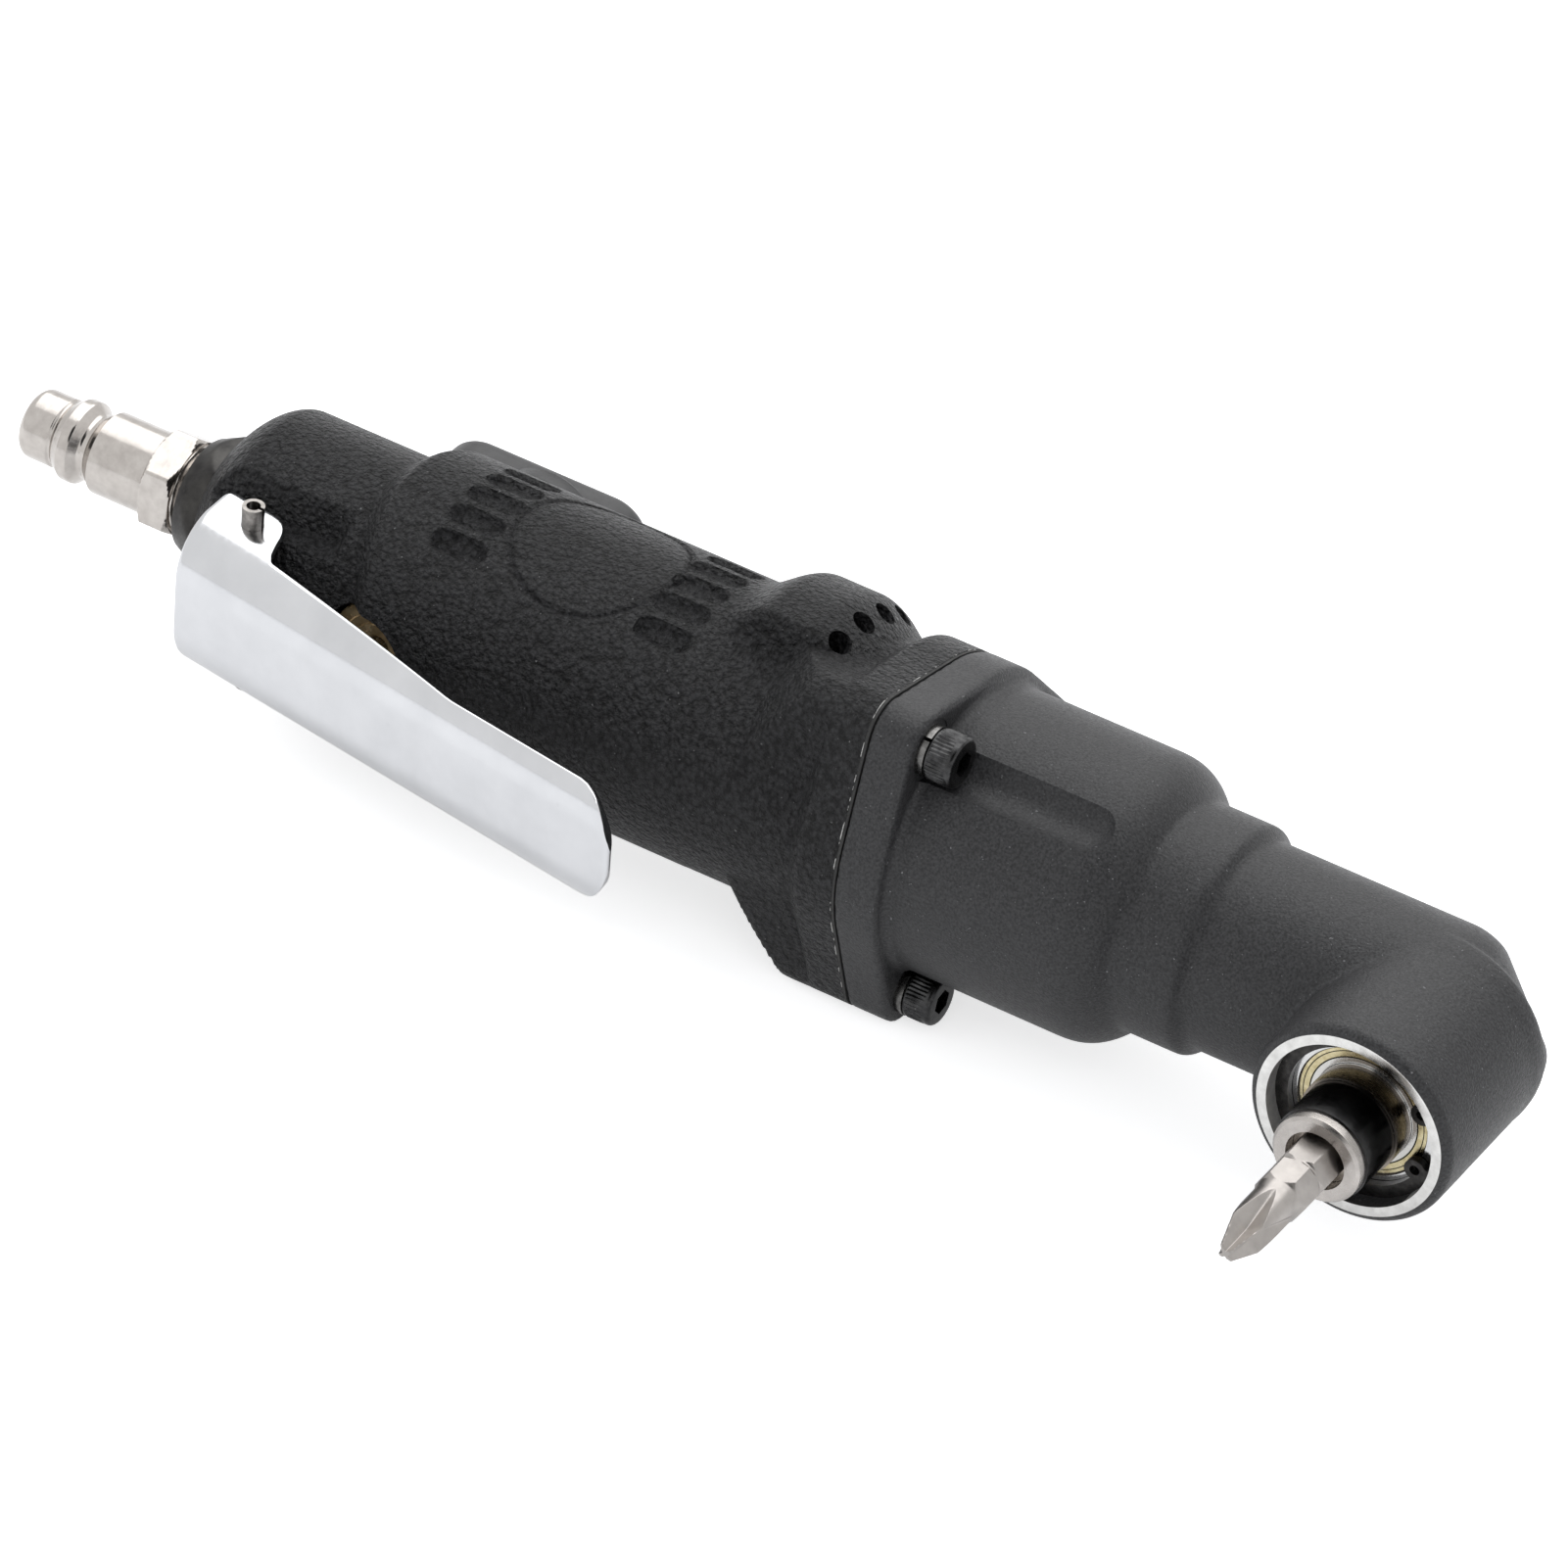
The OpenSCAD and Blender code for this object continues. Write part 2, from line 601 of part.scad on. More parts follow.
// Gasket between handle and gear case
module flange_gasket() color([0.3, 0.3, 0.3]) along_x(parting_x) difference() {
    flange_plate(gasket_len);
    translate([0, 0, -over]) cylinder(r = motor_bore_r + slack, h = gasket_len + 2 * over);
    at_screws() translate([0, 0, -over]) cylinder(r = screw_r + screw_clearance, h = gasket_len + 2 * over);
}
screw_clearance = 0.2;

// Gear case and angle head: one casting, from the flange to the head's rim
scallop_r = 4.25;
scallop_len = 27.2;
spot_len = 0.1;
nose_cone_len = 11.8;
chamber_r = 13.6;
carrier_end_gap = 0.6;
chamber_len = carrier_x + carrier_len + carrier_end_gap - case_x;
neck_bore_r = 8;
pinion_bore_end = 4;
cavity_top_d = 2.5;
bush_top = 9.9;
groove_r = 12.1;
circlip_len = 1.1;
circlip_from_rim = 3.4;
circlip_d = rim_dist - circlip_from_rim;

module angle_head_housing() color([0.16, 0.16, 0.16]) difference() {
    union() {
        along_x(case_x) flange_plate(flange_len);
        along_x(0) turned(concat([[0, case_x], [case_r, case_x]],
            step(case_r, case_end_x, collar_r, case_end_x + case_slope_len),
            [[collar_r, case_end_x + case_slope_len + collar_len]],
            step(collar_r, case_end_x + case_slope_len + collar_len, neck_r,
                case_end_x + case_slope_len + collar_len + collar_fillet_r, 4),
            [[neck_r, head_x + nose_cone_dist],
            [neck_r - nose_cone_share * nose_cone_len, head_x + nose_cone_dist + nose_cone_len],
            [0, head_x + nose_cone_dist + nose_cone_len]]));
        toward_bit(head_x, 0) turned(concat([[0, -barrel_top]],
            arc(barrel_r - rim_bevel, rim_bevel - barrel_top, rim_bevel, -90, 0),
            [[barrel_r, rim_dist - rim_bevel]],
            step(barrel_r, rim_dist - rim_bevel, barrel_r - rim_bevel, rim_dist, 4), [[0, rim_dist]]));
    }
    along_x(0) {
        at_screws() {
            translate([0, 0, flange_face_x - spot_len]) cylinder(r = scallop_r,
                h = spot_len + scallop_len - scallop_r);
            translate([0, 0, flange_face_x + scallop_len - scallop_r]) sphere(r = scallop_r);
            translate([0, 0, case_x - over]) cylinder(r = screw_r + screw_clearance,
                h = flange_len + 2 * over);
        }
        translate([0, 0, case_x - over]) cylinder(r = ring_out_r, h = ring_len + over);
        translate([0, 0, case_x]) cylinder(r = chamber_r, h = chamber_len);
        translate([0, 0, case_x]) cylinder(r = neck_brg[0], h = neck_front_brg_x + neck_brg[2] - case_x);
        translate([0, 0, case_x]) cylinder(r = neck_bore_r, h = head_x - pinion_bore_end - case_x);
    }
    toward_bit(head_x, 0) {
        translate([0, 0, cavity_top_d]) cylinder(r = spindle_brg[0], h = rim_dist);
        translate([0, 0, circlip_d - slack]) cylinder(r = groove_r, h = circlip_len + 2 * slack);
        translate([0, 0, circlip_d]) cylinder(r = mouth_r, h = rim_dist);
        translate([0, 0, -bush_top]) cylinder(r = bush_r, h = bush_top + cavity_top_d + over);
    }
}

// Screws and split washers that clamp the gear case to the handle
washer_len = 1.1;
screw_seat_x = flange_face_x - spot_len + washer_len;
screw_head_len = 4;
screw_socket_af = 3;
screw_socket_len = 2.2;
screw_edge = 0.4;
washer_r = 3.5;
washer_slit = 0.5;

module case_screws() color([0.1, 0.1, 0.1]) along_x(screw_seat_x) at_screws() difference() {
    union() {
        translate([0, 0, -screw_len]) cylinder(r = screw_r, h = screw_len);
        turned([[0, -over], [screw_r, -over], [screw_r, 0], [screw_head_r, 0],
            [screw_head_r, screw_head_len - screw_edge],
            [screw_head_r - screw_edge, screw_head_len], [0, screw_head_len]]);
    }
    translate([0, 0, screw_head_len - screw_socket_len]) linear_extrude(screw_socket_len + over)
        hexagon(screw_socket_af);
}

module spring_washers() color([0.5, 0.5, 0.5]) along_x(flange_face_x - spot_len) at_screws() difference() {
    tube(washer_r, screw_r + screw_clearance, washer_len);
    translate([0, -washer_slit / 2, -over]) cube([washer_r + over, washer_slit, washer_len + 2 * over]);
}

// Lever: one pressed channel with two ears, hinged on a roll pin
channel_h = 14;
ear_rear_r = 1.6;
ear_front_r = 2.2;
ear_rear_top = 4;
ear_front_top = 2.8;
tip_corner_r = 4;
edge_rise = 2.7;
tip_lip_share = 1.3;
ear_rear_lean = 6;
ear_front_lean = 8;

module channel_outline(inset) {
    w = lever_half_w - inset;
    r = channel_corner_r - inset;
    polygon(concat([[channel_h, -w]], arc(r + inset, r - w, r, 270, 180), arc(r + inset, w - r, r, 180, 90),
        [[channel_h, w]]));
}

module lever_side() {
    edge_y = edge_rise - channel_back_dist;
    edge_x = edge_start_dist + over;
    drop = (lever_reach - edge_x) * tan(edge_slope_angle);
    flat_y = -channel_back_dist - (lever_reach + lever_rear_dist) * tan(lever_slope_angle)
        + tip_lip_share * lever_t;
    flat_x = (edge_y + edge_x * tan(edge_slope_angle) - flat_y - lever_reach * tan(lever_slope_angle))
        / (tan(edge_slope_angle) - tan(lever_slope_angle));
    polygon(concat([[-ear_rear_dist, -channel_back_dist - channel_h]],
        arc(ear_rear_r - ear_rear_dist, ear_rear_top - ear_rear_r, ear_rear_r, 180, 90 + ear_rear_lean),
        arc(ear_front_dist - ear_front_r, ear_front_top - ear_front_r, ear_front_r, 90 - ear_front_lean, 0),
        [[ear_front_dist, edge_y + over], [edge_x, edge_y],
        [flat_x, flat_y + (lever_reach - flat_x) * tan(lever_slope_angle)], [lever_reach + over, flat_y],
        [lever_reach + over, -channel_back_dist - drop - channel_h]]));
}

module lever_plan() polygon(concat([[edge_start_dist, -lever_half_w - slack],
    [-lever_rear_dist - over, -lever_half_w - slack],
    [-lever_rear_dist - over, lever_half_w + slack], [edge_start_dist, lever_half_w + slack]],
    arc(lever_reach - tip_corner_r, lever_tip_half_w - tip_corner_r, tip_corner_r, 90, 0),
    arc(lever_reach - tip_corner_r, tip_corner_r - lever_tip_half_w, tip_corner_r, 0, -90)));

module trigger_lever() color([0.8, 0.8, 0.82]) translate([lever_pin_x, lever_pin_y, 0]) difference() {
    intersection() {
        translate([-lever_rear_dist, -channel_back_dist, 0]) rotate([0, 0, -lever_slope_angle]) along_x(0)
            linear_extrude(lever_reach + 2 * lever_rear_dist) difference() {
                channel_outline(0);
                channel_outline(lever_t);
            }
        translate([0, 0, -lever_half_w - over]) linear_extrude(2 * (lever_half_w + over)) lever_side();
        toward_bit(0, -channel_h) linear_extrude(lever_reach + channel_h) lever_plan();
    }
    translate([0, 0, -lever_half_w - over]) cylinder(r = lever_pin_r + slack, h = 2 * (lever_half_w + over));
}

module lever_pin() color([0.2, 0.2, 0.2]) translate([lever_pin_x, lever_pin_y, -lever_half_w - pin_overhang])
    linear_extrude(2 * (lever_half_w + pin_overhang)) difference() {
        circle(r = lever_pin_r);
        circle(r = pin_bore_r);
        translate([0, -pin_slot_w / 2]) square([lever_pin_r + over, pin_slot_w]);
    }

// Throttle: a brass bushing that guides a push stem, with its seal and spring
bushing_show = 1.2;
bushing_depth = 6;
stem_r = 1.5;
stem_gap = 0.5388;            // free travel of the lever before it meets the stem
stem_end_d = channel_back_dist - lever_pin_y
    + (throttle_x - lever_pin_x + lever_rear_dist) * tan(lever_slope_angle) - lever_t / cos(lever_slope_angle) - stem_gap;
stem_edge = 0.4;
valve_head_r = 3.9;
valve_head_len = 1.4;
seal_len = 1;
stem_tail_r = 1.2;
stem_tail_len = 5.5;
throttle_spring_r = 2.6;
throttle_wire_r = 0.35;
throttle_turns = 6;
bushing_end_d = throttle_face_y - bushing_depth;
head_d = bushing_end_d - seat_gap - seal_len;

module throttle_bushing() color("gold") toward_bit(throttle_x, bushing_end_d) difference() {
    turned([[0, 0], [throttle_bore_r, 0], [throttle_bore_r, bushing_depth], [throttle_r, bushing_depth],
        [throttle_r, bushing_depth + bushing_show], [0, bushing_depth + bushing_show]]);
    translate([0, 0, -over]) cylinder(r = stem_r + slack, h = bushing_depth + bushing_show + 2 * over);
}

module throttle_stem() color("silver") toward_bit(throttle_x, head_d) turned([
    [0, -valve_head_len - stem_tail_len], [stem_tail_r, -valve_head_len - stem_tail_len],
    [stem_tail_r, -valve_head_len], [valve_head_r, -valve_head_len], [valve_head_r, 0], [stem_r, 0],
    [stem_r, stem_end_d - head_d - stem_edge], [stem_r - stem_edge, stem_end_d - head_d],
        [0, stem_end_d - head_d]]);

module throttle_seal() color("black") toward_bit(throttle_x, head_d) tube(valve_head_r, stem_r, seal_len);

module throttle_spring() color("gray") toward_bit(throttle_x, -throttle_bore_end_y)
    helix(throttle_spring_r, throttle_wire_r, throttle_turns, throttle_bore_end_y + head_d - valve_head_len);

// Reversing valve: a rotary plug with its seal, detent and wing knob
valve_len = 10.6;
valve_duct_r = 1.8;
valve_post_r = 2.5;
detent_y = 13.6;
detent_r = 1.2;
detent_bite = 0.6;
detent_spring_r = 0.85;
detent_wire_r = 0.2;
detent_turns = 5;
o_ring_r = 0.6;
o_ring_y = 17.2;
o_ring_dist = reverse_bore_r - slack - o_ring_r;
knob_gap = 0.2;
hub_len = 3.1;
wing_gap = 0.8;
wing_edge_r = 3;
wing_shift = 1.3;
knob_screw_r = 1.5;
knob_screw_head_len = 1.6;
knob_screw_len = 12;
knob_screw_slot_w = 0.8;
knob_y = knob_seat_y + knob_gap;
detent_x = reverse_x + reverse_bore_r + detent_r - detent_bite;

module reverse_valve() color("silver") toward_knob(reverse_x, reverse_bore_end_y + seat_gap) difference() {
    union() {
        cylinder(r = reverse_bore_r - slack, h = valve_len);
        cylinder(r = valve_post_r, h = knob_reach - wing_gap - knob_screw_head_len - reverse_bore_end_y
            - seat_gap);
    }
    translate([0, 0, -over]) cylinder(r = valve_duct_r, h = port_y - reverse_bore_end_y + valve_duct_r);
    translate([0, 0, port_y - reverse_bore_end_y - seat_gap]) rotate([0, 90, 0])
        cylinder(r = port_r, h = reverse_bore_r + over);
    // the detent's groove, and the square groove of the seal
    translate([0, 0, detent_y - reverse_bore_end_y - seat_gap]) rotate_extrude()
        translate([detent_x - reverse_x, 0]) circle(r = detent_r + slack);
    translate([0, 0, o_ring_y - reverse_bore_end_y - seat_gap - o_ring_r - slack])
        tube(reverse_bore_r + over, o_ring_dist - o_ring_r - slack, 2 * (o_ring_r + slack));
    translate([0, 0, knob_reach - knob_screw_len - reverse_bore_end_y - 2 * seat_gap])
        cylinder(r = knob_screw_r, h = knob_screw_len);
}

module reverse_seal() color("black") toward_knob(reverse_x, o_ring_y) rotate_extrude()
    translate([o_ring_dist, 0]) circle(r = o_ring_r);

module detent_ball() color("silver") translate([detent_x, detent_y, 0]) sphere(r = detent_r);

module detent_spring() color("gray") along_x(detent_x + sqrt(detent_r ^ 2 - detent_spring_r ^ 2))
    translate([detent_y, 0, 0])
    helix(detent_spring_r, detent_wire_r, detent_turns,
        bore_seat_x - detent_x - sqrt(detent_r ^ 2 - detent_spring_r ^ 2));

module reverse_knob() color([0.15, 0.15, 0.15]) difference() {
    wing_h = knob_reach - knob_y - wing_gap;
    edge_r = min(wing_edge_r, wing_h);
    union() {
        toward_knob(reverse_x, knob_y) cylinder(r = hub_r, h = hub_len);
        intersection() {
            toward_knob(reverse_x - wing_shift, knob_y) round_bar(wing_len, wing_w, wing_gap + wing_h);
            translate([reverse_x - wing_shift, knob_y + wing_gap, -wing_w]) linear_extrude(2 * wing_w)
                polygon(concat([[-wing_len / 2, 0], [wing_len / 2, 0]],
                    arc(wing_len / 2 - edge_r, wing_h - edge_r, edge_r, 0, 90),
                    arc(edge_r - wing_len / 2, wing_h - edge_r, edge_r, 90, 180)));
        }
    }
    toward_knob(reverse_x, knob_y - over) cylinder(r = valve_post_r, h = knob_reach);
}

module knob_screw() color("gray") toward_knob(reverse_x, knob_reach - wing_gap - knob_screw_head_len)
    difference() {
    union() {
        cylinder(r = valve_post_r, h = knob_screw_head_len);
        translate([0, 0, wing_gap + knob_screw_head_len - knob_screw_len])
            cylinder(r = knob_screw_r, h = knob_screw_len - wing_gap);
    }
    translate([-valve_post_r - over, -knob_screw_slot_w / 2, knob_screw_head_len / 2])
        cube([2 * (valve_post_r + over), knob_screw_slot_w, knob_screw_head_len]);
}

// Vane motor: end plates, cylinder, rotor and vanes
plate_hole_r = 4.2;
rotor_gap = 0.1;
port_len = 6;
exhaust_window_w = 14;
exhaust_window_len = 5;

module motor_ports(x, len) along_x(x) for (side = [-1, 1]) translate([port_y, side * port_z, 0])
    cylinder(r = port_r, h = len);

module rear_end_plate() color("silver") difference() {
    along_x(rear_plate_x) difference() {
        cylinder(r = motor_bore_r, h = rear_plate_len);
        translate([0, 0, -over]) cylinder(r = motor_brg[0], h = motor_brg[2] + brg_step + over);
        cylinder(r = plate_hole_r, h = rear_plate_len + over);
    }
    motor_ports(rear_plate_x - over, rear_plate_len + 2 * over);
}

module motor_cylinder() color("gray") difference() {
    along_x(cylinder_x) cylinder(r = motor_bore_r, h = cylinder_len);
    along_x(cylinder_x - over) translate([-bore_offset, 0, 0])
        cylinder(r = cylinder_bore_r, h = cylinder_len + 2 * over);
    motor_ports(cylinder_x - over, port_len + over);
    translate([parting_x - exhaust_groove_from_parting + over, -motor_bore_r - over, -exhaust_window_w / 2])
        cube([exhaust_window_len, motor_bore_r, exhaust_window_w]);
}

module front_end_plate() color("silver") along_x(front_plate_x) difference() {
    cylinder(r = motor_bore_r, h = front_plate_len);
    translate([0, 0, front_plate_len - motor_brg[2] - brg_step])
        cylinder(r = motor_brg[0], h = front_plate_len);
    translate([0, 0, -over]) cylinder(r = plate_hole_r, h = front_plate_len + over);
}

module motor_clamp_ring() color("gray") along_x(clamp_x) tube(motor_bore_r, clamp_bore_r, case_x - clamp_x);
clamp_bore_r = 11.6;

rear_brg_x = rear_plate_x + brg_step;
front_brg_x = clamp_x - brg_step - motor_brg[2];
sun_overhang = 0.4;
sun_x = planet_x - sun_overhang;
sun_end_x = planet_x + planet_len + sun_overhang;
sun_bore_r = 2.2;

module vane_slots(w, depth) for (i = [0:vane_count - 1]) rotate(360 * i / vane_count)
    translate([rotor_r - depth, -w / 2]) square([depth + over, w]);

module rotor() color("silver") along_x(0) union() {
    translate([0, 0, cylinder_x + rotor_gap]) linear_extrude(cylinder_len - 2 * rotor_gap) difference() {
        circle(r = rotor_r);
        vane_slots(vane_t, vane_depth);
    }
    translate([0, 0, rear_brg_x]) cylinder(r = rotor_shaft_r, h = clamp_x - rear_brg_x);
    translate([0, 0, clamp_x - over]) cylinder(r = sun_bore_r, h = sun_end_x - clamp_x + over);
}

module vanes() color("brown") along_x(cylinder_x + rotor_gap) linear_extrude(cylinder_len - 2 * rotor_gap)
    intersection() {
        circle(r = rotor_r - slack);
        vane_slots(vane_t, vane_depth);
    }

module sun_gear() color("gray") along_x(clamp_x) difference() {
    union() {
        cylinder(r = rotor_shaft_r, h = sun_end_x - clamp_x);
        translate([0, 0, sun_x - clamp_x]) linear_extrude(sun_end_x - sun_x) planetary_outline(sun_teeth);
    }
    translate([0, 0, -over]) cylinder(r = sun_bore_r, h = sun_end_x - clamp_x + 2 * over);
}

module motor_bearings() for (x = [rear_brg_x, front_brg_x]) along_x(x) children();
module motor_bearing_outers() color("silver") motor_bearings() brg_outer(motor_brg);
module motor_bearing_inners() color("silver") motor_bearings() brg_inner(motor_brg);
module motor_bearing_balls() color("silver") motor_bearings() brg_balls(motor_brg);

// Planetary stage: three planets between the motor's sun gear and a fixed ring gear
module planetary_outline(z) gear_outline(gear_module, z, gear_module * (z / 2 - dedendum),
    gear_module * (z / 2 + addendum), tooth_thin);

module ring_gear() color("gray") along_x(case_x) linear_extrude(ring_len) difference() {
    circle(r = ring_out_r);
    rotate(180 / ring_teeth) gear_outline(gear_module, ring_teeth,
        gear_module * (ring_teeth / 2 - ring_addendum_share),
        gear_module * (ring_teeth / 2 + dedendum), -tooth_thin);
}

module at_planet(i) rotate(360 * i / planet_count) translate([planet_dist, 0, 0]) children();

module planet_gear(i) color("gray") along_x(planet_x) at_planet(i) linear_extrude(planet_len) difference() {
    rotate(180 / planet_teeth) planetary_outline(planet_teeth);
    circle(r = pin_r + slack);
}
module planet_gear_1() planet_gear(0);
module planet_gear_2() planet_gear(1);
module planet_gear_3() planet_gear(2);

pin_head_r = 2.4;
pin_head_len = 0.8;

module planet_pins() color("silver") along_x(planet_x) for (i = [0:planet_count - 1]) at_planet(i) {
    translate([0, 0, -pin_head_len - seat_gap]) cylinder(r = pin_head_r, h = pin_head_len);
    translate([0, 0, -seat_gap - over / 2]) cylinder(r = pin_r,
        h = carrier_x + carrier_len - planet_x + seat_gap + over / 2);
}

module planet_carrier() color("gray") along_x(carrier_x) difference() {
    cylinder(r = carrier_r, h = carrier_len);
    translate([0, 0, -over]) cylinder(r = pinion_shaft_r, h = carrier_len + 2 * over);
    for (i = [0:planet_count - 1]) at_planet(i) translate([0, 0, -over])
        cylinder(r = pin_r, h = carrier_len + 2 * over);
}

// Bevel teeth: the involute of the back cone, drawn in the plane of the large end and scaled to the apex
module bevel_wheel(z, mate) {
    cone = atan(z / mate);
    radius = bevel_module * z / 2;
    reach = radius / tan(cone);
    back_r = radius / cos(cone);
    rs = [for (i = [0:flank_steps])
        back_r + bevel_module * ((bevel_addendum + bevel_dedendum) * i / flank_steps - bevel_dedendum)];
    points = [for (r = rs) let (rho = reach * tan(cone + atan((r - back_r) * sin(cone) / radius)),
        a = flank(bevel_module, z / cos(cone), r, tooth_thin) / cos(cone)) [rho, a]];
    linear_extrude(reach * (1 - bevel_share), scale = bevel_share) {
        circle(r = points[0][0] + gear_overlap);
        for (i = [0:z - 1]) rotate(360 * i / z)
            polygon([for (k = [-flank_steps:flank_steps + 1])
                let (p = points[k < 1 ? -k : k - 1], s = k < 1 ? 1 : -1)
                [p[0] * cos(p[1]), s * p[0] * sin(p[1])]]);
    }
}

// Pinion shaft, its two bearings and the spacer between them
pinion_hub_r = 5.4;
pinion_neck_len = 1.6;
pinion_back_x = head_x - bevel_r;
spacer_bore_r = 8;

module pinion_shaft() color("gray") along_x(0) union() {
    translate([0, 0, carrier_x]) cylinder(r = pinion_shaft_r, h = pinion_back_x - carrier_x);
    translate([0, 0, neck_front_brg_x + neck_brg[2]]) cylinder(r = pinion_hub_r,
        h = pinion_back_x - neck_front_brg_x - neck_brg[2] - pinion_neck_len);
    translate([0, 0, carrier_x + carrier_len]) cylinder(r = pinion_hub_r,
        h = neck_rear_brg_x - carrier_x - carrier_len);
    translate([0, 0, pinion_back_x]) bevel_wheel(pinion_teeth, bevel_teeth);
}

module neck_bearings() for (x = [neck_rear_brg_x, neck_front_brg_x]) along_x(x) children();
module pinion_bearing_outers() color("silver") neck_bearings() brg_outer(neck_brg);
module pinion_bearing_inners() color("silver") neck_bearings() brg_inner(neck_brg);
module pinion_bearing_balls() color("silver") neck_bearings() brg_balls(neck_brg);
module bearing_spacer() color("gray") along_x(neck_rear_brg_x + neck_brg[2])
    tube(neck_brg[0], spacer_bore_r, neck_front_brg_x - neck_rear_brg_x - neck_brg[2]);

// Spindle with its bevel gear, bush and bearing
bevel_hub_r = 7;
collar_r_spindle = 6.8;
magnet_r = 2.6;
magnet_len = 3;
shield_len = 0.3;

module bevel_gear() color("gray") toward_bit(head_x, 0) difference() {
    union() {
        translate([0, 0, pinion_r]) mirror([0, 0, 1]) rotate(180 / bevel_teeth)
            bevel_wheel(bevel_teeth, pinion_teeth);
        translate([0, 0, pinion_r - 2 * slack]) cylinder(r = bevel_hub_r,
            h = spindle_brg_d - pinion_r + 2 * slack);
    }
    cylinder(r = spindle_neck_r, h = spindle_brg_d + over);
}

module spindle() color([0.3, 0.3, 0.3]) toward_bit(head_x, 0) difference() {
    turned([[0, -spindle_top], [spindle_neck_r, -spindle_top], [spindle_neck_r, spindle_brg_d],
        [spindle_r, spindle_brg_d],
        [spindle_r, spindle_brg_d + spindle_brg[2]], [collar_r_spindle, spindle_brg_d + spindle_brg[2]],
        [collar_r_spindle, collar_d], [chuck_nose_r, collar_d], [chuck_nose_r, nose_end_d],
            [0, nose_end_d]]);
    translate([0, 0, bit_rear_d]) linear_extrude(bit_len) hexagon(socket_af);
    translate([0, 0, bit_rear_d - magnet_len]) cylinder(r = magnet_r, h = bit_len);
    translate([0, 0, lock_d]) rotate([-90, 0, 0]) cylinder(r = lock_ball_r + slack, h = chuck_nose_r + over);
}

module spindle_bush() color("gold") toward_bit(head_x, -bush_top)
    tube(bush_r, spindle_neck_r + slack, bush_len);
module spindle_bearing() toward_bit(head_x, spindle_brg_d) children();
module spindle_bearing_outer() color("silver") spindle_bearing() brg_outer(spindle_brg);
module spindle_bearing_inner() color("silver") spindle_bearing() brg_inner(spindle_brg);
module spindle_bearing_balls() color("silver") spindle_bearing() brg_balls(spindle_brg);
module bearing_shield() color("gold") spindle_bearing() translate([0, 0, spindle_brg[2] - 2 * shield_len])
    tube(spindle_brg[0] - (spindle_brg[0] - spindle_brg[1]) * race_share,
        spindle_brg[1] + (spindle_brg[0] - spindle_brg[1]) * race_share + slack, shield_len);

// Circlip that holds the bearing in the head: an open ring with two pierced lugs
clip_in_r = 9.9;
clip_gap_angle = 40;
clip_lug_r = 1.5;
clip_hole_r = 0.7;
clip_lug_dist = 9.6;
clip_lug_angle = 7;

module circlip() color([0.6, 0.58, 0.55]) toward_bit(head_x, circlip_d) linear_extrude(circlip_len)
    difference() {
    union() {
        difference() {
            circle(r = groove_r);
            circle(r = clip_in_r);
            polygon([[0, 0], for (a = [-1, 1])
                groove_r * 2 * [cos(a * clip_gap_angle / 2), sin(a * clip_gap_angle / 2)]]);
        }
        for (a = [-1, 1]) rotate(a * (clip_gap_angle / 2 + clip_lug_angle)) translate([clip_lug_dist, 0])
            circle(r = clip_lug_r);
    }
    for (a = [-1, 1]) rotate(a * (clip_gap_angle / 2 + clip_lug_angle)) translate([clip_lug_dist, 0])
        circle(r = clip_hole_r);
}

// Quick-change chuck: sliding sleeve, steel ring, spring, clip and lock ball
sleeve_start_d = collar_d + seat_gap;
pocket_r = 5.9;
chamber_sleeve_r = 5.85;
ring_bore_r = 4.15;
ring_edge = 0.4;
clip_len = 0.5;
clip_from_end = 0.9;
clip_d = nose_end_d - clip_from_end;
clip_r = 5.7;
sleeve_spring_r = 5.4;
sleeve_wire_r = 0.2;
sleeve_turns = 2;
sleeve_spring_steps = 24;
lock_from_land = 0.6;
lock_d = land_d + lock_from_land;
lock_gap = 0.03;

module chuck_sleeve() color([0.08, 0.08, 0.08]) toward_bit(head_x, 0) difference() {
    translate([0, 0, sleeve_start_d]) cylinder(r = sleeve_r, h = sleeve_end_d - sleeve_start_d);
    cylinder(r = pocket_r, h = land_d);
    cylinder(r = chuck_nose_r + slack, h = bit_tip_dist);
    translate([0, 0, land_d + land_len]) cylinder(r = chamber_sleeve_r, h = bit_len);
}

module nose_ring() color([0.7, 0.66, 0.62]) toward_bit(head_x, sleeve_end_d) difference() {
    turned([[0, 0], [nose_ring_r, 0], [nose_ring_r, ring_end_d - sleeve_end_d - ring_edge],
        [nose_ring_r - ring_edge, ring_end_d - sleeve_end_d], [0, ring_end_d - sleeve_end_d]]);
    translate([0, 0, -over]) cylinder(r = ring_bore_r, h = bit_len);
}

module sleeve_spring() color("gray") toward_bit(head_x, land_d + land_len)
    helix(sleeve_spring_r, sleeve_wire_r, sleeve_turns, clip_d - land_d - land_len,
        per_turn = sleeve_spring_steps);

module sleeve_clip() color("gray") toward_bit(head_x, clip_d) tube(clip_r, chuck_nose_r, clip_len);

module lock_ball() color("silver") toward_bit(head_x, lock_d)
    translate([0, bit_af / 2 + lock_gap + lock_ball_r, 0])
    sphere(r = lock_ball_r);

module bit_magnet() color("gray") toward_bit(head_x, bit_rear_d - magnet_len)
    cylinder(r = magnet_r, h = magnet_len);

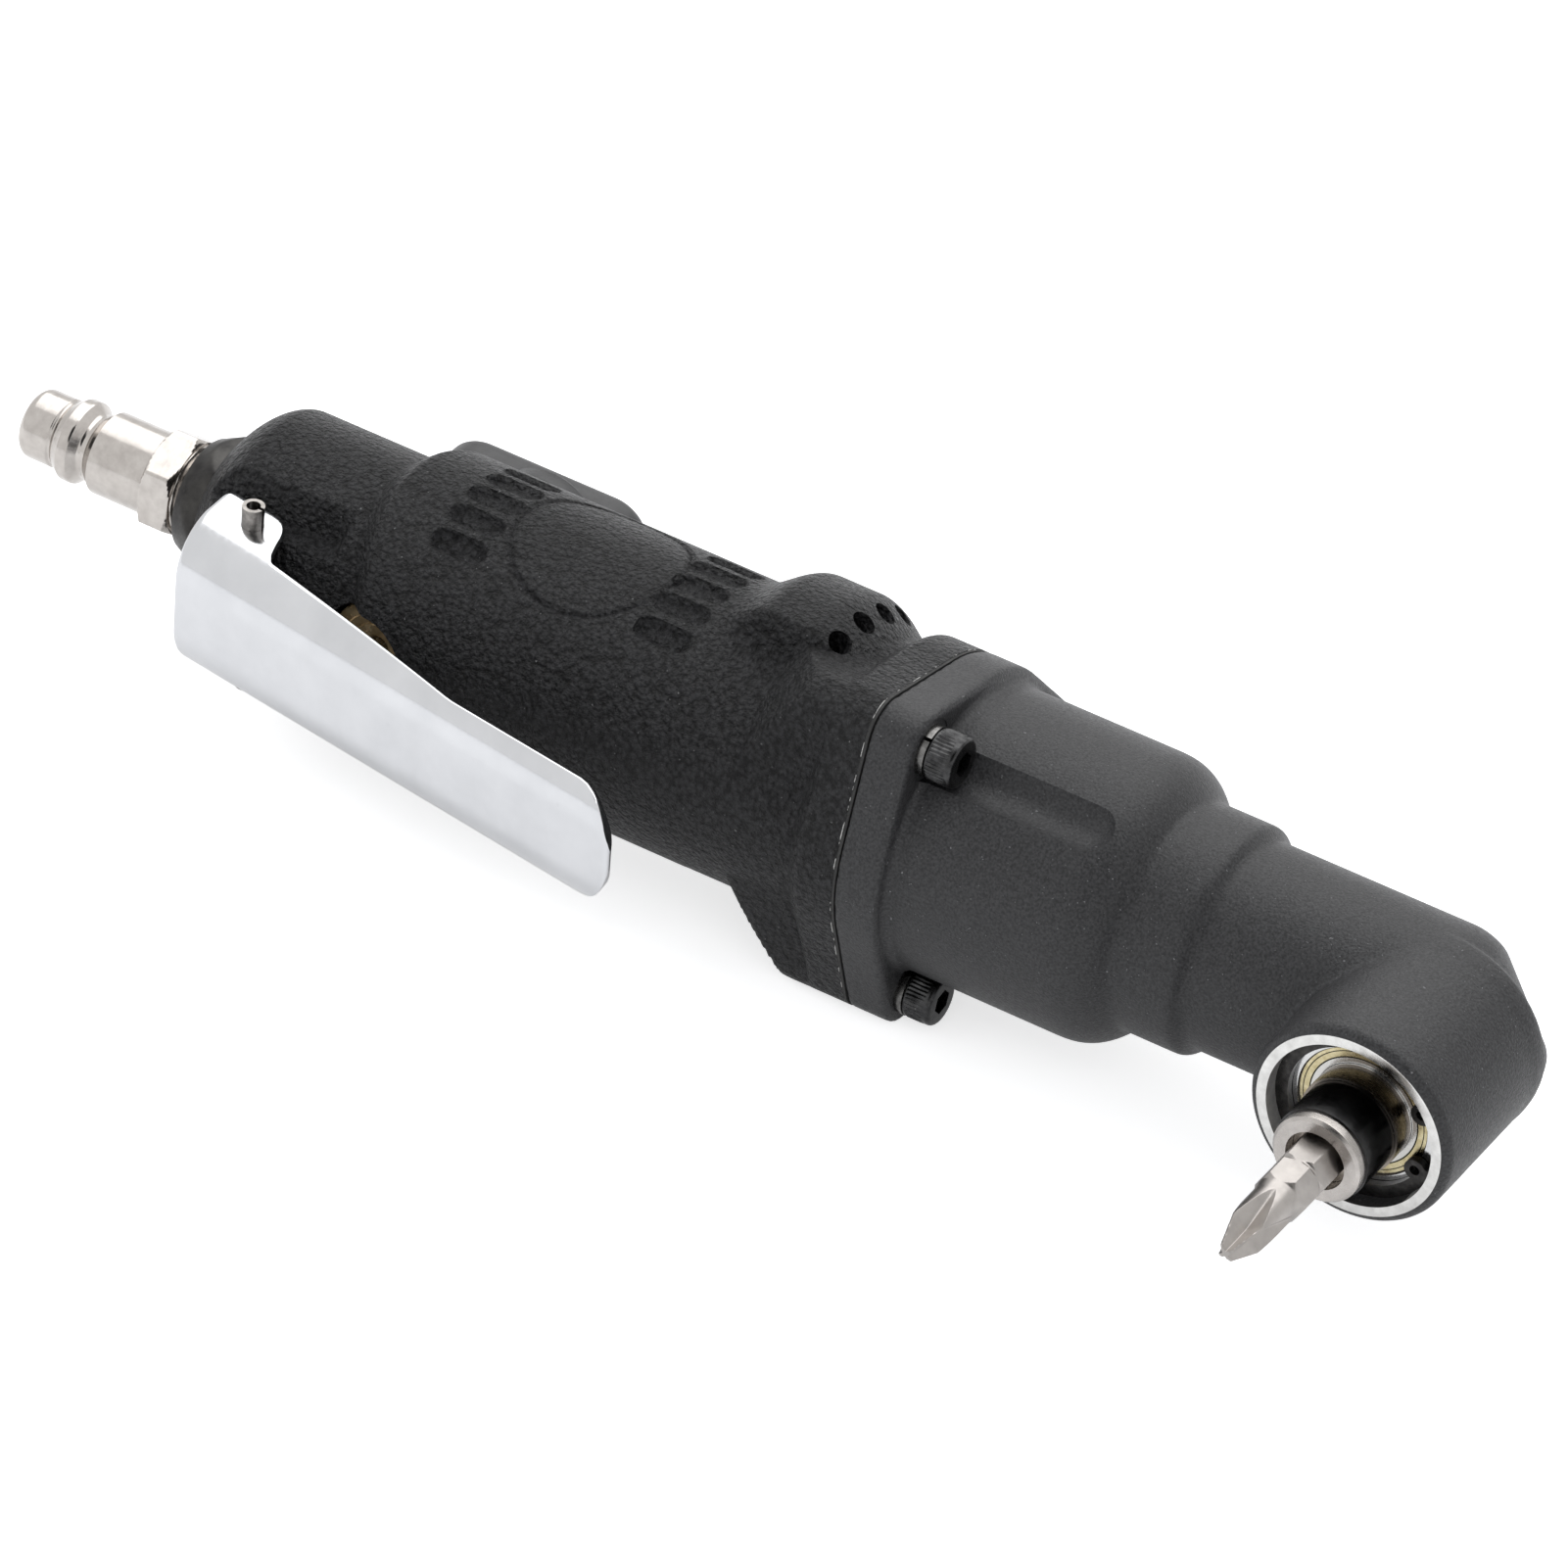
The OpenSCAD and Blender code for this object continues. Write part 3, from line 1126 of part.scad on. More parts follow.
// Cross-recess bit: hexagon with corner notches, waist, and a fluted point
bit_hex_len = 14.4;
bit_hex_end_d = bit_rear_d + bit_hex_len;
bit_corner_len = 1;         // from the end of the sharp corners to the end of the hexagon
bit_fall_len = 2;
bit_waist_len = 1;
bit_rise_len = 1;
bit_waist_r = 2.55;
bit_wing_r = 2.9;
bit_wing_len = 6.4;
bit_tip_r = 0.95;
bit_edge = 0.4;
notch_len = 0.9;
notch_depth = 0.3;
notch_from_rear = 10.3;
notch_d = bit_rear_d + notch_from_rear;
flute_in_r = 0.45;
flute_tilt = 13;
flute_len = 10.5;
flute_open = 0.85;

module bit() color([0.66, 0.62, 0.6]) toward_bit(head_x, 0) difference() {
    corner = bit_af / 2 * hex_corner;
    intersection() {
        translate([0, 0, bit_rear_d]) linear_extrude(bit_len) hexagon(bit_af);
        turned(concat([[0, bit_rear_d], [corner - bit_edge, bit_rear_d], [corner, bit_rear_d + bit_edge],
            [corner, bit_hex_end_d - bit_corner_len]],
            step(bit_af / 2, bit_hex_end_d, bit_waist_r, bit_hex_end_d + bit_fall_len, 5),
            step(bit_waist_r, bit_hex_end_d + bit_fall_len + bit_waist_len,
                bit_wing_r, bit_tip_dist - bit_wing_len - bit_rise_len, 4),
            [[bit_wing_r, bit_tip_dist - bit_wing_len], [bit_tip_r, bit_tip_dist], [0, bit_tip_dist]]));
    }
    translate([0, 0, notch_d]) tube(corner + over, corner - notch_depth, notch_len);
    for (i = [0:3]) rotate(45 + 90 * i) translate([flute_in_r, 0, bit_tip_dist]) rotate([0, -flute_tilt, 0])
        translate([0, 0, -flute_len]) linear_extrude(flute_len + over)
            polygon([[0, 0], [bit_wing_r, bit_wing_r * flute_open], [bit_wing_r, -bit_wing_r * flute_open]]);
}

handle_housing();
angle_head_housing();
flange_gasket();
case_screws();
spring_washers();
air_plug();
inlet_bushing();
inlet_screen();
trigger_lever();
lever_pin();
throttle_bushing();
throttle_stem();
throttle_spring();
throttle_seal();
reverse_valve();
reverse_seal();
reverse_knob();
knob_screw();
detent_ball();
detent_spring();
rear_end_plate();
motor_cylinder();
front_end_plate();
motor_clamp_ring();
rotor();
sun_gear();
vanes();
motor_bearing_outers();
motor_bearing_inners();
motor_bearing_balls();
ring_gear();
planet_gear_1();
planet_gear_2();
planet_gear_3();
planet_pins();
planet_carrier();
pinion_shaft();
pinion_bearing_outers();
pinion_bearing_inners();
pinion_bearing_balls();
bearing_spacer();
bevel_gear();
spindle();
spindle_bush();
spindle_bearing_outer();
spindle_bearing_inner();
spindle_bearing_balls();
bearing_shield();
circlip();
chuck_sleeve();
nose_ring();
sleeve_spring();
sleeve_clip();
lock_ball();
bit_magnet();
bit();
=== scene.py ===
import math

import bmesh
import bpy
import numpy as np
from mathutils import Matrix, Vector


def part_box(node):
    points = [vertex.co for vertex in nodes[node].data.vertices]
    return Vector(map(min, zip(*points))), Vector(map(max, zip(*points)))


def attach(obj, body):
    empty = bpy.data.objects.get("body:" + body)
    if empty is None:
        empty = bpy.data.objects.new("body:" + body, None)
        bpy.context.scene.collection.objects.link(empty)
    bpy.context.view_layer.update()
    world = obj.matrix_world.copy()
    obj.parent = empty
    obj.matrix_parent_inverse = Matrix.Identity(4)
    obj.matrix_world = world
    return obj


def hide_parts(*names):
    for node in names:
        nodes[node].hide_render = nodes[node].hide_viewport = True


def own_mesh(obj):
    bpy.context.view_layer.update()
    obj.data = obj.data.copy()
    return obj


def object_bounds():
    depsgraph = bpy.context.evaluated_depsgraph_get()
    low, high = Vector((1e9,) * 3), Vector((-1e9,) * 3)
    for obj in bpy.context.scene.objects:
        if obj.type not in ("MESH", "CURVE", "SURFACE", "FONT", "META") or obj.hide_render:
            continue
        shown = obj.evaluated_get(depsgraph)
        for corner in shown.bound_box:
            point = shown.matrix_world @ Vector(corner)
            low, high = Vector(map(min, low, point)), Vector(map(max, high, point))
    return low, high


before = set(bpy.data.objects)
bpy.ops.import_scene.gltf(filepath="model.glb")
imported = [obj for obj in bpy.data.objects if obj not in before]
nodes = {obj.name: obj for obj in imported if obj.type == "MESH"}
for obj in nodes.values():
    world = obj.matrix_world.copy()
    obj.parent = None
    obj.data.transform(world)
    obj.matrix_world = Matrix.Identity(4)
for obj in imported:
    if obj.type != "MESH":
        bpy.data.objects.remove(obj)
cad_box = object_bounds()


# The view: a long lens from in front, above and beside the head, over a pale floor that the
# tool lies on. One large soft lamp hangs overhead and two weaker ones stand at the sides, and
# shiny surfaces also show the unlit side of the room.

lens_mm = 269.83
camera_place = (0.6919, -1.0262, 0.9158)
camera_turn = Matrix(((0.8454, -0.3699, 0.3852), (0.5304, 0.4973, -0.6866), (0.0624, 0.7848, 0.6166)))
camera_data = bpy.data.cameras.new("camera")
camera_data.lens = lens_mm
camera_data.sensor_width = 36.0
camera_data.clip_start = 0.1
camera_data.clip_end = 10.0
camera = bpy.data.objects.new("camera", camera_data)
camera.matrix_world = Matrix.Translation(camera_place) @ camera_turn.to_4x4()
bpy.context.scene.collection.objects.link(camera)
bpy.context.scene.camera = camera
bpy.context.scene.view_settings.view_transform = "Standard"


def fill(tree, node, values):
    """Gives the named inputs of a node their values, each a socket to join, a number, or a colour
    or vector of three numbers."""
    for key, value in values.items():
        socket = node.inputs[key]
        if hasattr(value, "node"):
            tree.links.new(value, socket)
        else:
            socket.default_value = (*value, 1.0) if socket.type == "RGBA" else value


def new_material(name):
    """A material whose node tree holds only a Principled shader that is joined to the output."""
    material = bpy.data.materials.new(name)
    material.use_nodes = True
    tree = material.node_tree
    tree.nodes.clear()
    shader = tree.nodes.new("ShaderNodeBsdfPrincipled")
    output = tree.nodes.new("ShaderNodeOutputMaterial")
    tree.links.new(shader.outputs["BSDF"], output.inputs["Surface"])
    return material, tree, shader


def combine(tree, operation, first, second=0.0):
    """One Math node on two values, each a number or a socket; an operation on one value leaves out
    the second."""
    node = tree.nodes.new("ShaderNodeMath")
    node.operation = operation
    fill(tree, node, {0: first, 1: second})
    return node.outputs["Value"]


def remap(tree, value, low, high, out_low, out_high):
    """A value carried straight from one range to another, and held at the ends."""
    node = tree.nodes.new("ShaderNodeMapRange")
    fill(tree, node, {"Value": value, "From Min": low, "From Max": high, "To Min": out_low, "To Max": out_high})
    return node.outputs["Result"]


def seen_directly(tree):
    """1 for a ray from the camera, a mirror or glass, and 0 for a ray that lights a dull
    surface."""
    path = tree.nodes.new("ShaderNodeLightPath")
    first = combine(tree, "MAXIMUM", path.outputs["Is Camera Ray"], path.outputs["Is Glossy Ray"])
    return combine(tree, "MAXIMUM", first, path.outputs["Is Transmission Ray"])


world = bpy.data.worlds.new("studio")
bpy.context.scene.world = world
world.use_nodes = True
studio = world.node_tree
studio.nodes.clear()
room_light = studio.nodes.new("ShaderNodeBackground")
fill(studio, room_light, {"Color": (0.94, 0.96, 1.0), "Strength": 0.55})
backdrop_glow = studio.nodes.new("ShaderNodeBackground")
fill(studio, backdrop_glow, {"Color": (1.0, 1.0, 1.0), "Strength": 1.0})
world_mix = studio.nodes.new("ShaderNodeMixShader")
fill(studio, world_mix, {"Fac": seen_directly(studio), 1: room_light.outputs["Background"],
                         2: backdrop_glow.outputs["Background"]})
studio_out = studio.nodes.new("ShaderNodeOutputWorld")
fill(studio, studio_out, {"Surface": world_mix.outputs["Shader"]})


def soft_lamp(name, place, aim, width, power):
    """A square area lamp at one point that faces another, in metres and watts."""
    data = bpy.data.lights.new(name, "AREA")
    data.shape = "SQUARE"
    data.size = width
    data.energy = power
    lamp = bpy.data.objects.new(name, data)
    back = np.array(place, float) - np.array(aim, float)
    back /= np.linalg.norm(back)
    right = np.cross((0.0, 0.0, 1.0), back)
    right /= np.linalg.norm(right)
    facing = Matrix(np.stack([right, np.cross(back, right), back], axis=1).tolist())
    lamp.matrix_world = Matrix.Translation(place) @ facing.to_4x4()
    bpy.context.scene.collection.objects.link(lamp)
    return lamp


tool_middle = (0.113, 0.0, 0.0)
soft_lamp("overhead_softbox", (0.05, 0.55, 0.95), tool_middle, 1.5, 11.0)
soft_lamp("front_softbox", (0.75, -0.80, 0.55), tool_middle, 1.4, 4.9).visible_glossy = False
soft_lamp("left_softbox", (-0.70, -0.45, 0.45), tool_middle, 1.2, 3.8).visible_glossy = False


def flat_sheet(name, middle, half_across, half_up, material):
    """A flat rectangle in metres from its middle and half of each of its two sides."""
    middle, half_across, half_up = np.array([middle, half_across, half_up], float)
    corners = [tuple(middle + a * half_across + b * half_up) for a, b in ((-1, -1), (1, -1), (1, 1), (-1, 1))]
    mesh = bpy.data.meshes.new(name)
    mesh.from_pydata(corners, [], [(0, 1, 2, 3)])
    mesh.materials.append(material)
    sheet = bpy.data.objects.new(name, mesh)
    bpy.context.scene.collection.objects.link(sheet)
    return sheet


floor_z = min(cad_box[0][2], cad_box[1][2])
floor_half = 3.0
floor_white, floor_tree, floor_shader = new_material("floor_white")
floor_glow = remap(floor_tree, seen_directly(floor_tree), 0.0, 1.0, 0.0, 0.25)
floor_path = floor_tree.nodes.new("ShaderNodeLightPath")
floor_shine = combine(floor_tree, "MULTIPLY", floor_path.outputs["Is Camera Ray"], 0.4)
fill(floor_tree, floor_shader, {
    "Base Color": (0.82, 0.82, 0.82), "Roughness": 0.9, "Specular IOR Level": 0.0,
    "Emission Color": (1.0, 1.0, 1.0),
    "Emission Strength": combine(floor_tree, "ADD", floor_shine, floor_glow)})
floor = flat_sheet("floor", (0.0, 0.0, floor_z), (floor_half, 0.0, 0.0), (0.0, floor_half, 0.0), floor_white)

# Only shiny surfaces see the unlit side; it casts no shadow and keeps no light from the rest.
dark_place = (0.55, -0.80, 1.05)
dark_across = 0.75 * np.array((0.824, 0.566, 0.0))
dark_up = 0.55 * np.array((-0.41, 0.60, 0.69))
unlit_grey, unlit_tree, unlit_shader = new_material("unlit_grey")
fill(unlit_tree, unlit_shader, {"Base Color": (0.03, 0.03, 0.03), "Roughness": 1.0})
dark_side = flat_sheet("dark_side", dark_place, dark_across, dark_up, unlit_grey)
dark_side.visible_camera = False
dark_side.visible_diffuse = False
dark_side.visible_shadow = False
dark_side.visible_transmission = False


# Handle: one aluminium casting in coarse black wrinkle paint. The skin is cast; the
# bores, the flats for the lever, the spot face and the exhaust holes are cut after it.

handle_rear_x = 31.6
parting_x = 136.0
rear_block_r = 16.0
grip_r = 19.0
dome_len = 6.6
dome_drop = 5.78
dome_power = 1.855
shoulder_x = 57.3
shoulder_half_len = 2.1
shoulder_lean = 4.2
bulge_r = 22.8
bulge_angle = 101.0
bulge_fade = 5.0
bulge_climb_x = 106.4
bulge_climb_len = 7.4
bulge_fall_x = 119.8
bulge_fall_len = 6.9
flange_r = 21.3
flange_swell_x = 126.6
flange_swell_len = 4.6
bolt_circle_r = 22.0
ear_r = 5.0
screw_angles = (0.0, 120.0, 240.0)
ear_slope_x = 118.2
ear_slope_rise = 0.98
flat_half_w = 9.6
flat_top = 9.4
flat_lean = 2.5
flat_end_x = 55.8
slot_angles = (-27.0, -13.5, 0.0, 13.5, 27.0)
slot_len = 7.8
slot_w = 3.0
slot_depth = 0.75
rear_slots_x = 71.0
front_slots_x = 101.8
pad_x = 86.9
pad_r = 11.6
pad_groove = 0.38
pad_groove_half_w = 0.55


def ease(t):
    """The smooth step 3t^2 - 2t^3, held at 0 below t = 0 and at 1 above t = 1."""
    t = np.clip(t, 0.0, 1.0)
    return t * t * (3.0 - 2.0 * t)


def blend_max(a, b, width):
    """The larger of a and b, with the corner between them rounded over a width: (a + b + sqrt(
    (a - b)^2 + width^2)) / 2, less the height that this adds far from the corner."""
    return (a + b + np.sqrt((a - b) ** 2 + width ** 2) - width * width / (np.abs(a - b) + width)) / 2.0


def blend_min(a, b, width):
    """The smaller of a and b, with the corner rounded in the same way."""
    return -blend_max(-a, -b, width)


def spaced(*stretches):
    """Stations from (end, step) stretches, the first value being the start: evenly spaced inside
    each stretch."""
    stations = [np.array([stretches[0]], float)]
    start = stretches[0]
    for end, step in stretches[1:]:
        count = max(int(round((end - start) / step)), 1)
        stations.append(np.linspace(start, end, count + 1)[1:])
        start = end
    return np.concatenate(stations)


def flange_outline(angle):
    """Radius of the flange along each ray: the furthest of the disc, the ear circles and the
    straight webs tangent to both."""
    radius = np.full(angle.shape, flange_r)
    tangent = math.acos((flange_r - ear_r) / bolt_circle_r)
    for screw in screw_angles:
        off = np.abs((angle - screw + 180.0) % 360.0 - 180.0) * math.pi / 180.0
        web = np.where(off < tangent, flange_r / np.cos(np.minimum(tangent - off, 1.5)), 0.0)
        side = bolt_circle_r * np.sin(off)
        reach = bolt_circle_r * np.cos(off) + np.sqrt(np.maximum(ear_r ** 2 - side ** 2, 0.0))
        ear = np.where((side < ear_r * math.sin(tangent)) & (off < 1.0), reach, 0.0)
        radius = np.maximum(radius, np.where(ear > 0.0, ear, web))
    return radius


def handle_radius(x, angle):
    """Radius of the cast skin at station x and angle from +Y: the rear block with its domed end,
    the shoulder up to the grip, the exhaust bulge on the upper side, the ears with their slopes and
    the flange, joined by rounded maxima. Then the slots and the ring round the pad come off as
    eased steps over the distance from each one's outline, and the two flats for the lever's ears as
    the smaller of the skin and the distance to each flat and to the leaning ledge above it."""
    turn = np.deg2rad(angle)
    block = rear_block_r - dome_drop * np.clip(1.0 - (x - handle_rear_x) / dome_len, 0.0, 1.0) ** dome_power
    lean = shoulder_lean * np.cos(turn) ** 2
    rise = ease((x - shoulder_x - lean + shoulder_half_len) / (2.0 * shoulder_half_len))
    skin = block + (grip_r - rear_block_r) * rise
    off_top = np.abs((angle + 180.0) % 360.0 - 180.0)
    cover = ease((bulge_angle + bulge_fade - off_top) / (2.0 * bulge_fade))
    climb = ease((x - bulge_climb_x) / bulge_climb_len)
    climb = climb * (1.0 - np.clip((x - bulge_fall_x) / bulge_fall_len, 0.0, 1.0) ** 1.6)
    skin = skin + (bulge_r - grip_r) * cover * climb
    outline = flange_outline(angle)
    ear_slope = grip_r + ear_slope_rise * (x - ear_slope_x)
    ears = np.minimum(grip_r - 0.4 + (outline - flange_r) * (27.5 - grip_r) / 5.7, outline)
    ears = blend_min(ears, ear_slope, 1.2)
    skin = np.where(x > 110.0, blend_max(skin, ears, 1.3), skin)
    swell = ease((x - flange_swell_x) / flange_swell_len)
    plate = grip_r - 1.0 + (outline - grip_r + 1.0) * swell
    skin = np.where(x > 124.0, blend_max(skin, plate, 0.5), skin)
    side = grip_r * np.deg2rad(np.where(np.abs(np.sin(turn)) > 0.5, (angle % 180.0) - 90.0, 180.0))
    for slot_x in (rear_slots_x, front_slots_x):
        for slot in slot_angles:
            past_middle = np.maximum(np.abs(x - slot_x) - (slot_len - slot_w) / 2.0, 0.0)
            gap = np.hypot(past_middle, side - grip_r * math.radians(slot)) - slot_w / 2.0
            skin = skin - slot_depth * ease(0.5 - gap / 0.5)
    from_pad = np.hypot(x - pad_x, side)
    skin = skin - pad_groove * ease(1.0 - np.abs(from_pad - pad_r) / pad_groove_half_w)
    skin = skin - 0.1 * ease((pad_r - from_pad) / 0.8)
    sine, cosine = np.abs(np.sin(turn)), np.maximum(-np.cos(turn), 0.0)
    ledge = (flat_half_w + flat_lean * flat_top) / np.maximum(sine + flat_lean * cosine, 1e-3)
    flat = np.where(np.cos(turn) < 0.0, np.maximum(flat_half_w / np.maximum(sine, 1e-3), ledge), 100.0)
    return skin - (skin - blend_min(skin, flat, 0.4)) * ease((flat_end_x - x) / 3.0)


def place_rows(x, radius, angle):
    """Points in millimetres round the main axis, from station, radius and angle from +Y to +Z."""
    turn = np.deg2rad(angle)
    return np.stack(np.broadcast_arrays(x, radius * np.cos(turn), radius * np.sin(turn)), axis=-1)


def skin_mesh(name, grid, ring=False, shade_angle=35.0, fold=False):
    """A closed mesh from a grid of points in millimetres, rows by columns. The columns always join
    round. The rows join round too for a ring. Otherwise a fan to the middle of the first and of the
    last row closes each end, or, for a sheet that is folded flat there, the points that fall
    together are merged. If the enclosed volume, the sum of a . (b x c) / 6 over its triangles,
    comes out negative, every face is turned over."""
    rows, columns = grid.shape[:2]
    index = np.arange(rows * columns).reshape(rows, columns)
    after = np.roll(index, -1, axis=1)
    if ring:
        a, b = index, np.roll(index, -1, axis=0)
        c, d = np.roll(after, -1, axis=0), after
    else:
        a, b, c, d = index[:-1], index[1:], after[1:], after[:-1]
    quads = np.stack([a, b, c, d], axis=-1).reshape(-1, 4)
    points = grid.reshape(-1, 3)
    fans = np.zeros((0, 3), int)
    if not ring and not fold:
        first, last = len(points), len(points) + 1
        points = np.concatenate([points, grid[0].mean(axis=0)[None], grid[-1].mean(axis=0)[None]])
        fans = np.concatenate([
            np.stack([np.full(columns, first), index[0], after[0]], axis=-1),
            np.stack([np.full(columns, last), after[-1], index[-1]], axis=-1)])
    triangles = np.concatenate([quads[:, (0, 1, 2)], quads[:, (0, 2, 3)], fans])
    corner = points[triangles]
    if np.einsum("ij,ij->i", corner[:, 0], np.cross(corner[:, 1], corner[:, 2])).sum() < 0.0:
        quads, fans = quads[:, ::-1], fans[:, ::-1]
    mesh = bpy.data.meshes.new(name)
    mesh.from_pydata((points * 0.001).tolist(), [], quads.tolist() + fans.tolist())
    if fold:
        joined = bmesh.new()
        joined.from_mesh(mesh)
        bmesh.ops.remove_doubles(joined, verts=joined.verts, dist=1e-6)
        joined.to_mesh(mesh)
        joined.free()
    mesh.shade_smooth()
    mesh.set_sharp_from_angle(angle=math.radians(shade_angle))
    piece = bpy.data.objects.new(name, mesh)
    bpy.context.scene.collection.objects.link(piece)
    return piece


def turned(name, profile, start, axis=(1.0, 0.0, 0.0), steps=96, ring=False, shade_angle=35.0):
    """A turned part: each (radius, distance) point of the profile is carried round the axis through
    start, all in millimetres. A profile that comes back to where it began makes a ring; any other
    is closed by its two end faces."""
    profile = np.array(profile, float)
    axis = np.array(axis, float) / np.linalg.norm(axis)
    side = np.cross(axis, (0.0, 0.0, 1.0)) if abs(axis[2]) < 0.9 else np.array((1.0, 0.0, 0.0))
    side = side / np.linalg.norm(side)
    other = np.cross(axis, side)
    turn = np.arange(steps) * 2.0 * math.pi / steps
    spokes = np.cos(turn)[:, None] * side + np.sin(turn)[:, None] * other
    grid = np.array(start, float) + profile[:, 1, None, None] * axis + profile[:, 0, None, None] * spokes
    return skin_mesh(name, grid, ring, shade_angle)


def drop(*pieces):
    """Takes cutters and other helpers out of the file."""
    for piece in pieces:
        data = piece.data
        bpy.data.objects.remove(piece)
        bpy.data.meshes.remove(data)


def settle(piece, shade_angle):
    """The piece gets the mesh that its modifiers make, shaded smooth except over edges sharper than
    an angle."""
    made = piece.evaluated_get(bpy.context.evaluated_depsgraph_get())
    result = bpy.data.meshes.new_from_object(made)
    before = piece.data
    piece.modifiers.clear()
    piece.data = result
    result.name = piece.name
    bpy.data.meshes.remove(before)
    result.shade_smooth()
    result.set_sharp_from_angle(angle=math.radians(shade_angle))


def carve(piece, cutters, operation="DIFFERENCE", shade_angle=35.0):
    """The cutters' solids are taken from the piece, or joined to it, one after another, and their
    objects are dropped."""
    for cutter in cutters:
        cut = piece.modifiers.new("cut", "BOOLEAN")
        cut.operation = operation
        cut.solver = "MANIFOLD"
        cut.object = cutter
    settle(piece, shade_angle)
    drop(*cutters)
    return piece


def drill(start, axis, r, length, steps=48):
    """A round cutter of radius r from start along the axis."""
    return turned("drill", [(r, 0.0), (r, length)], start, axis, steps)


def ray(angle):
    """The unit direction away from the main axis at an angle from +Y towards +Z."""
    return np.array((0.0, math.cos(math.radians(angle)), math.sin(math.radians(angle))))


def bolt_place(x, angle):
    """The point of a bolt's axis at station x, for the bolt at an angle from +Y."""
    return np.array((x, 0.0, 0.0)) + bolt_circle_r * ray(angle)


main_axis = (1.0, 0.0, 0.0)
to_bit = (0.0, -1.0, 0.0)
to_knob = (0.0, 1.0, 0.0)
throttle_x = 62.8
reverse_x = 65.8
lever_pin = (43.6, -14.4)
motor_bore_r = 15.0

handle_x = spaced(handle_rear_x, (39.0, 0.5), (54.0, 1.0), (62.0, 0.45), (66.0, 0.6), (107.0, 0.3),
                  (parting_x, 0.38))[:, None]
quarter = spaced(0.0, (54.0, 2.0), (126.0, 0.9), (180.0, 2.0))[:-1]
handle_angle = np.concatenate([quarter, quarter + 180.0])[None, :]
handle = skin_mesh("handle_casting", place_rows(handle_x, handle_radius(handle_x, handle_angle), handle_angle))
lug_turn = np.linspace(0.0, math.pi, 25)
lug_edge = np.stack([lever_pin[0] + 3.0 * np.cos(lug_turn), lever_pin[1] - 3.0 * np.sin(lug_turn)], axis=-1)
lug_edge = np.concatenate([[(lever_pin[0] + 3.0, -8.4)], lug_edge, [(lever_pin[0] - 3.0, -8.4)]])
lug_grid = np.stack([np.concatenate([lug_edge, np.full((len(lug_edge), 1), z)], axis=1) for z in (-9.6, 9.6)])
lug = skin_mesh("lug", lug_grid)
knob_pad = turned("knob_pad", [(8.6, 0.0), (8.6, 10.7), (8.1, 11.2)], (reverse_x, 8.0, 0.0), to_knob)
chamber_turn = np.linspace(-95.0, 95.0, 96)
chamber_corners = np.array([(112.5, 14.0), (121.5, 14.0), (121.5, 18.4), (112.5, 18.4)])
exhaust_chamber = skin_mesh("chamber", place_rows(
    chamber_corners[None, :, 0], chamber_corners[None, :, 1], chamber_turn[:, None]))
exhaust_angles = 15.3 * (np.arange(13) - 6.0) + 2.2
exhaust_holes = [
    drill(np.array((125.0, 0.0, 0.0)) + 22.8 * ray(a), -0.7071 * (np.array(main_axis) + ray(a)), 1.65, 8.5, 32)
    for a in exhaust_angles]

handle = carve(handle, [lug, knob_pad], "UNION")
handle = carve(handle, [
    drill((lever_pin[0], lever_pin[1], -10.0), (0.0, 0.0, 1.0), 1.5, 20.0),
    drill((throttle_x, -12.4, 0.0), to_bit, 7.2, 9.0, 96),
    drill((throttle_x, 6.0, 0.0), to_bit, 4.4, 22.0),
    drill((reverse_x, 8.0, 0.0), to_knob, 5.0, 14.0),
    drill((30.0, 0.0, 0.0), main_axis, 4.6, 32.8),
    drill((30.0, 0.0, 0.0), main_axis, 8.05, 13.65),
    drill((77.0, 0.0, 0.0), main_axis, motor_bore_r, 61.0, 144),
    drill((reverse_x, 11.5, 3.2), main_axis, 1.7, 12.0),
    drill((reverse_x, 11.5, -3.2), main_axis, 1.7, 12.0),
    exhaust_chamber] + exhaust_holes + [
    drill(bolt_place(126.6, a), main_axis, 2.05, 12.0) for a in screw_angles])


def noise_field(tree, size, detail=3.0, stretch=(1.0, 1.0, 1.0)):
    """Noise on Object coordinates with cells of one size in millimetres, drawn out along an axis by
    a stretch above 1."""
    place = tree.nodes.new("ShaderNodeTexCoord")
    mapping = tree.nodes.new("ShaderNodeMapping")
    fill(tree, mapping, {"Scale": [1000.0 / (size * s) for s in stretch], "Vector": place.outputs["Object"]})
    noise = tree.nodes.new("ShaderNodeTexNoise")
    fill(tree, noise, {"Scale": 1.0, "Detail": detail, "Roughness": 0.55, "Vector": mapping.outputs["Vector"]})
    return noise.outputs["Fac"]


def tones(tree, share, first, second):
    """Two colours mixed by a share; each colour is three numbers or a socket."""
    mix = tree.nodes.new("ShaderNodeMix")
    mix.data_type = "RGBA"
    fill(tree, mix, {"Factor": share, "A": first, "B": second})
    return mix.outputs["Result"]


def relief(tree, shader, height, depth):
    """The surface tilted by a height field that is worth a depth in millimetres from 0 to 1."""
    bump = tree.nodes.new("ShaderNodeBump")
    fill(tree, bump, {"Strength": 1.0, "Distance": depth * 0.001, "Height": height})
    fill(tree, shader, {"Normal": bump.outputs["Normal"]})


def along(tree, axis):
    """One Object coordinate, in millimetres."""
    place = tree.nodes.new("ShaderNodeTexCoord")
    parts = tree.nodes.new("ShaderNodeSeparateXYZ")
    fill(tree, parts, {"Vector": place.outputs["Object"]})
    return combine(tree, "MULTIPLY", parts.outputs[axis], 1000.0)


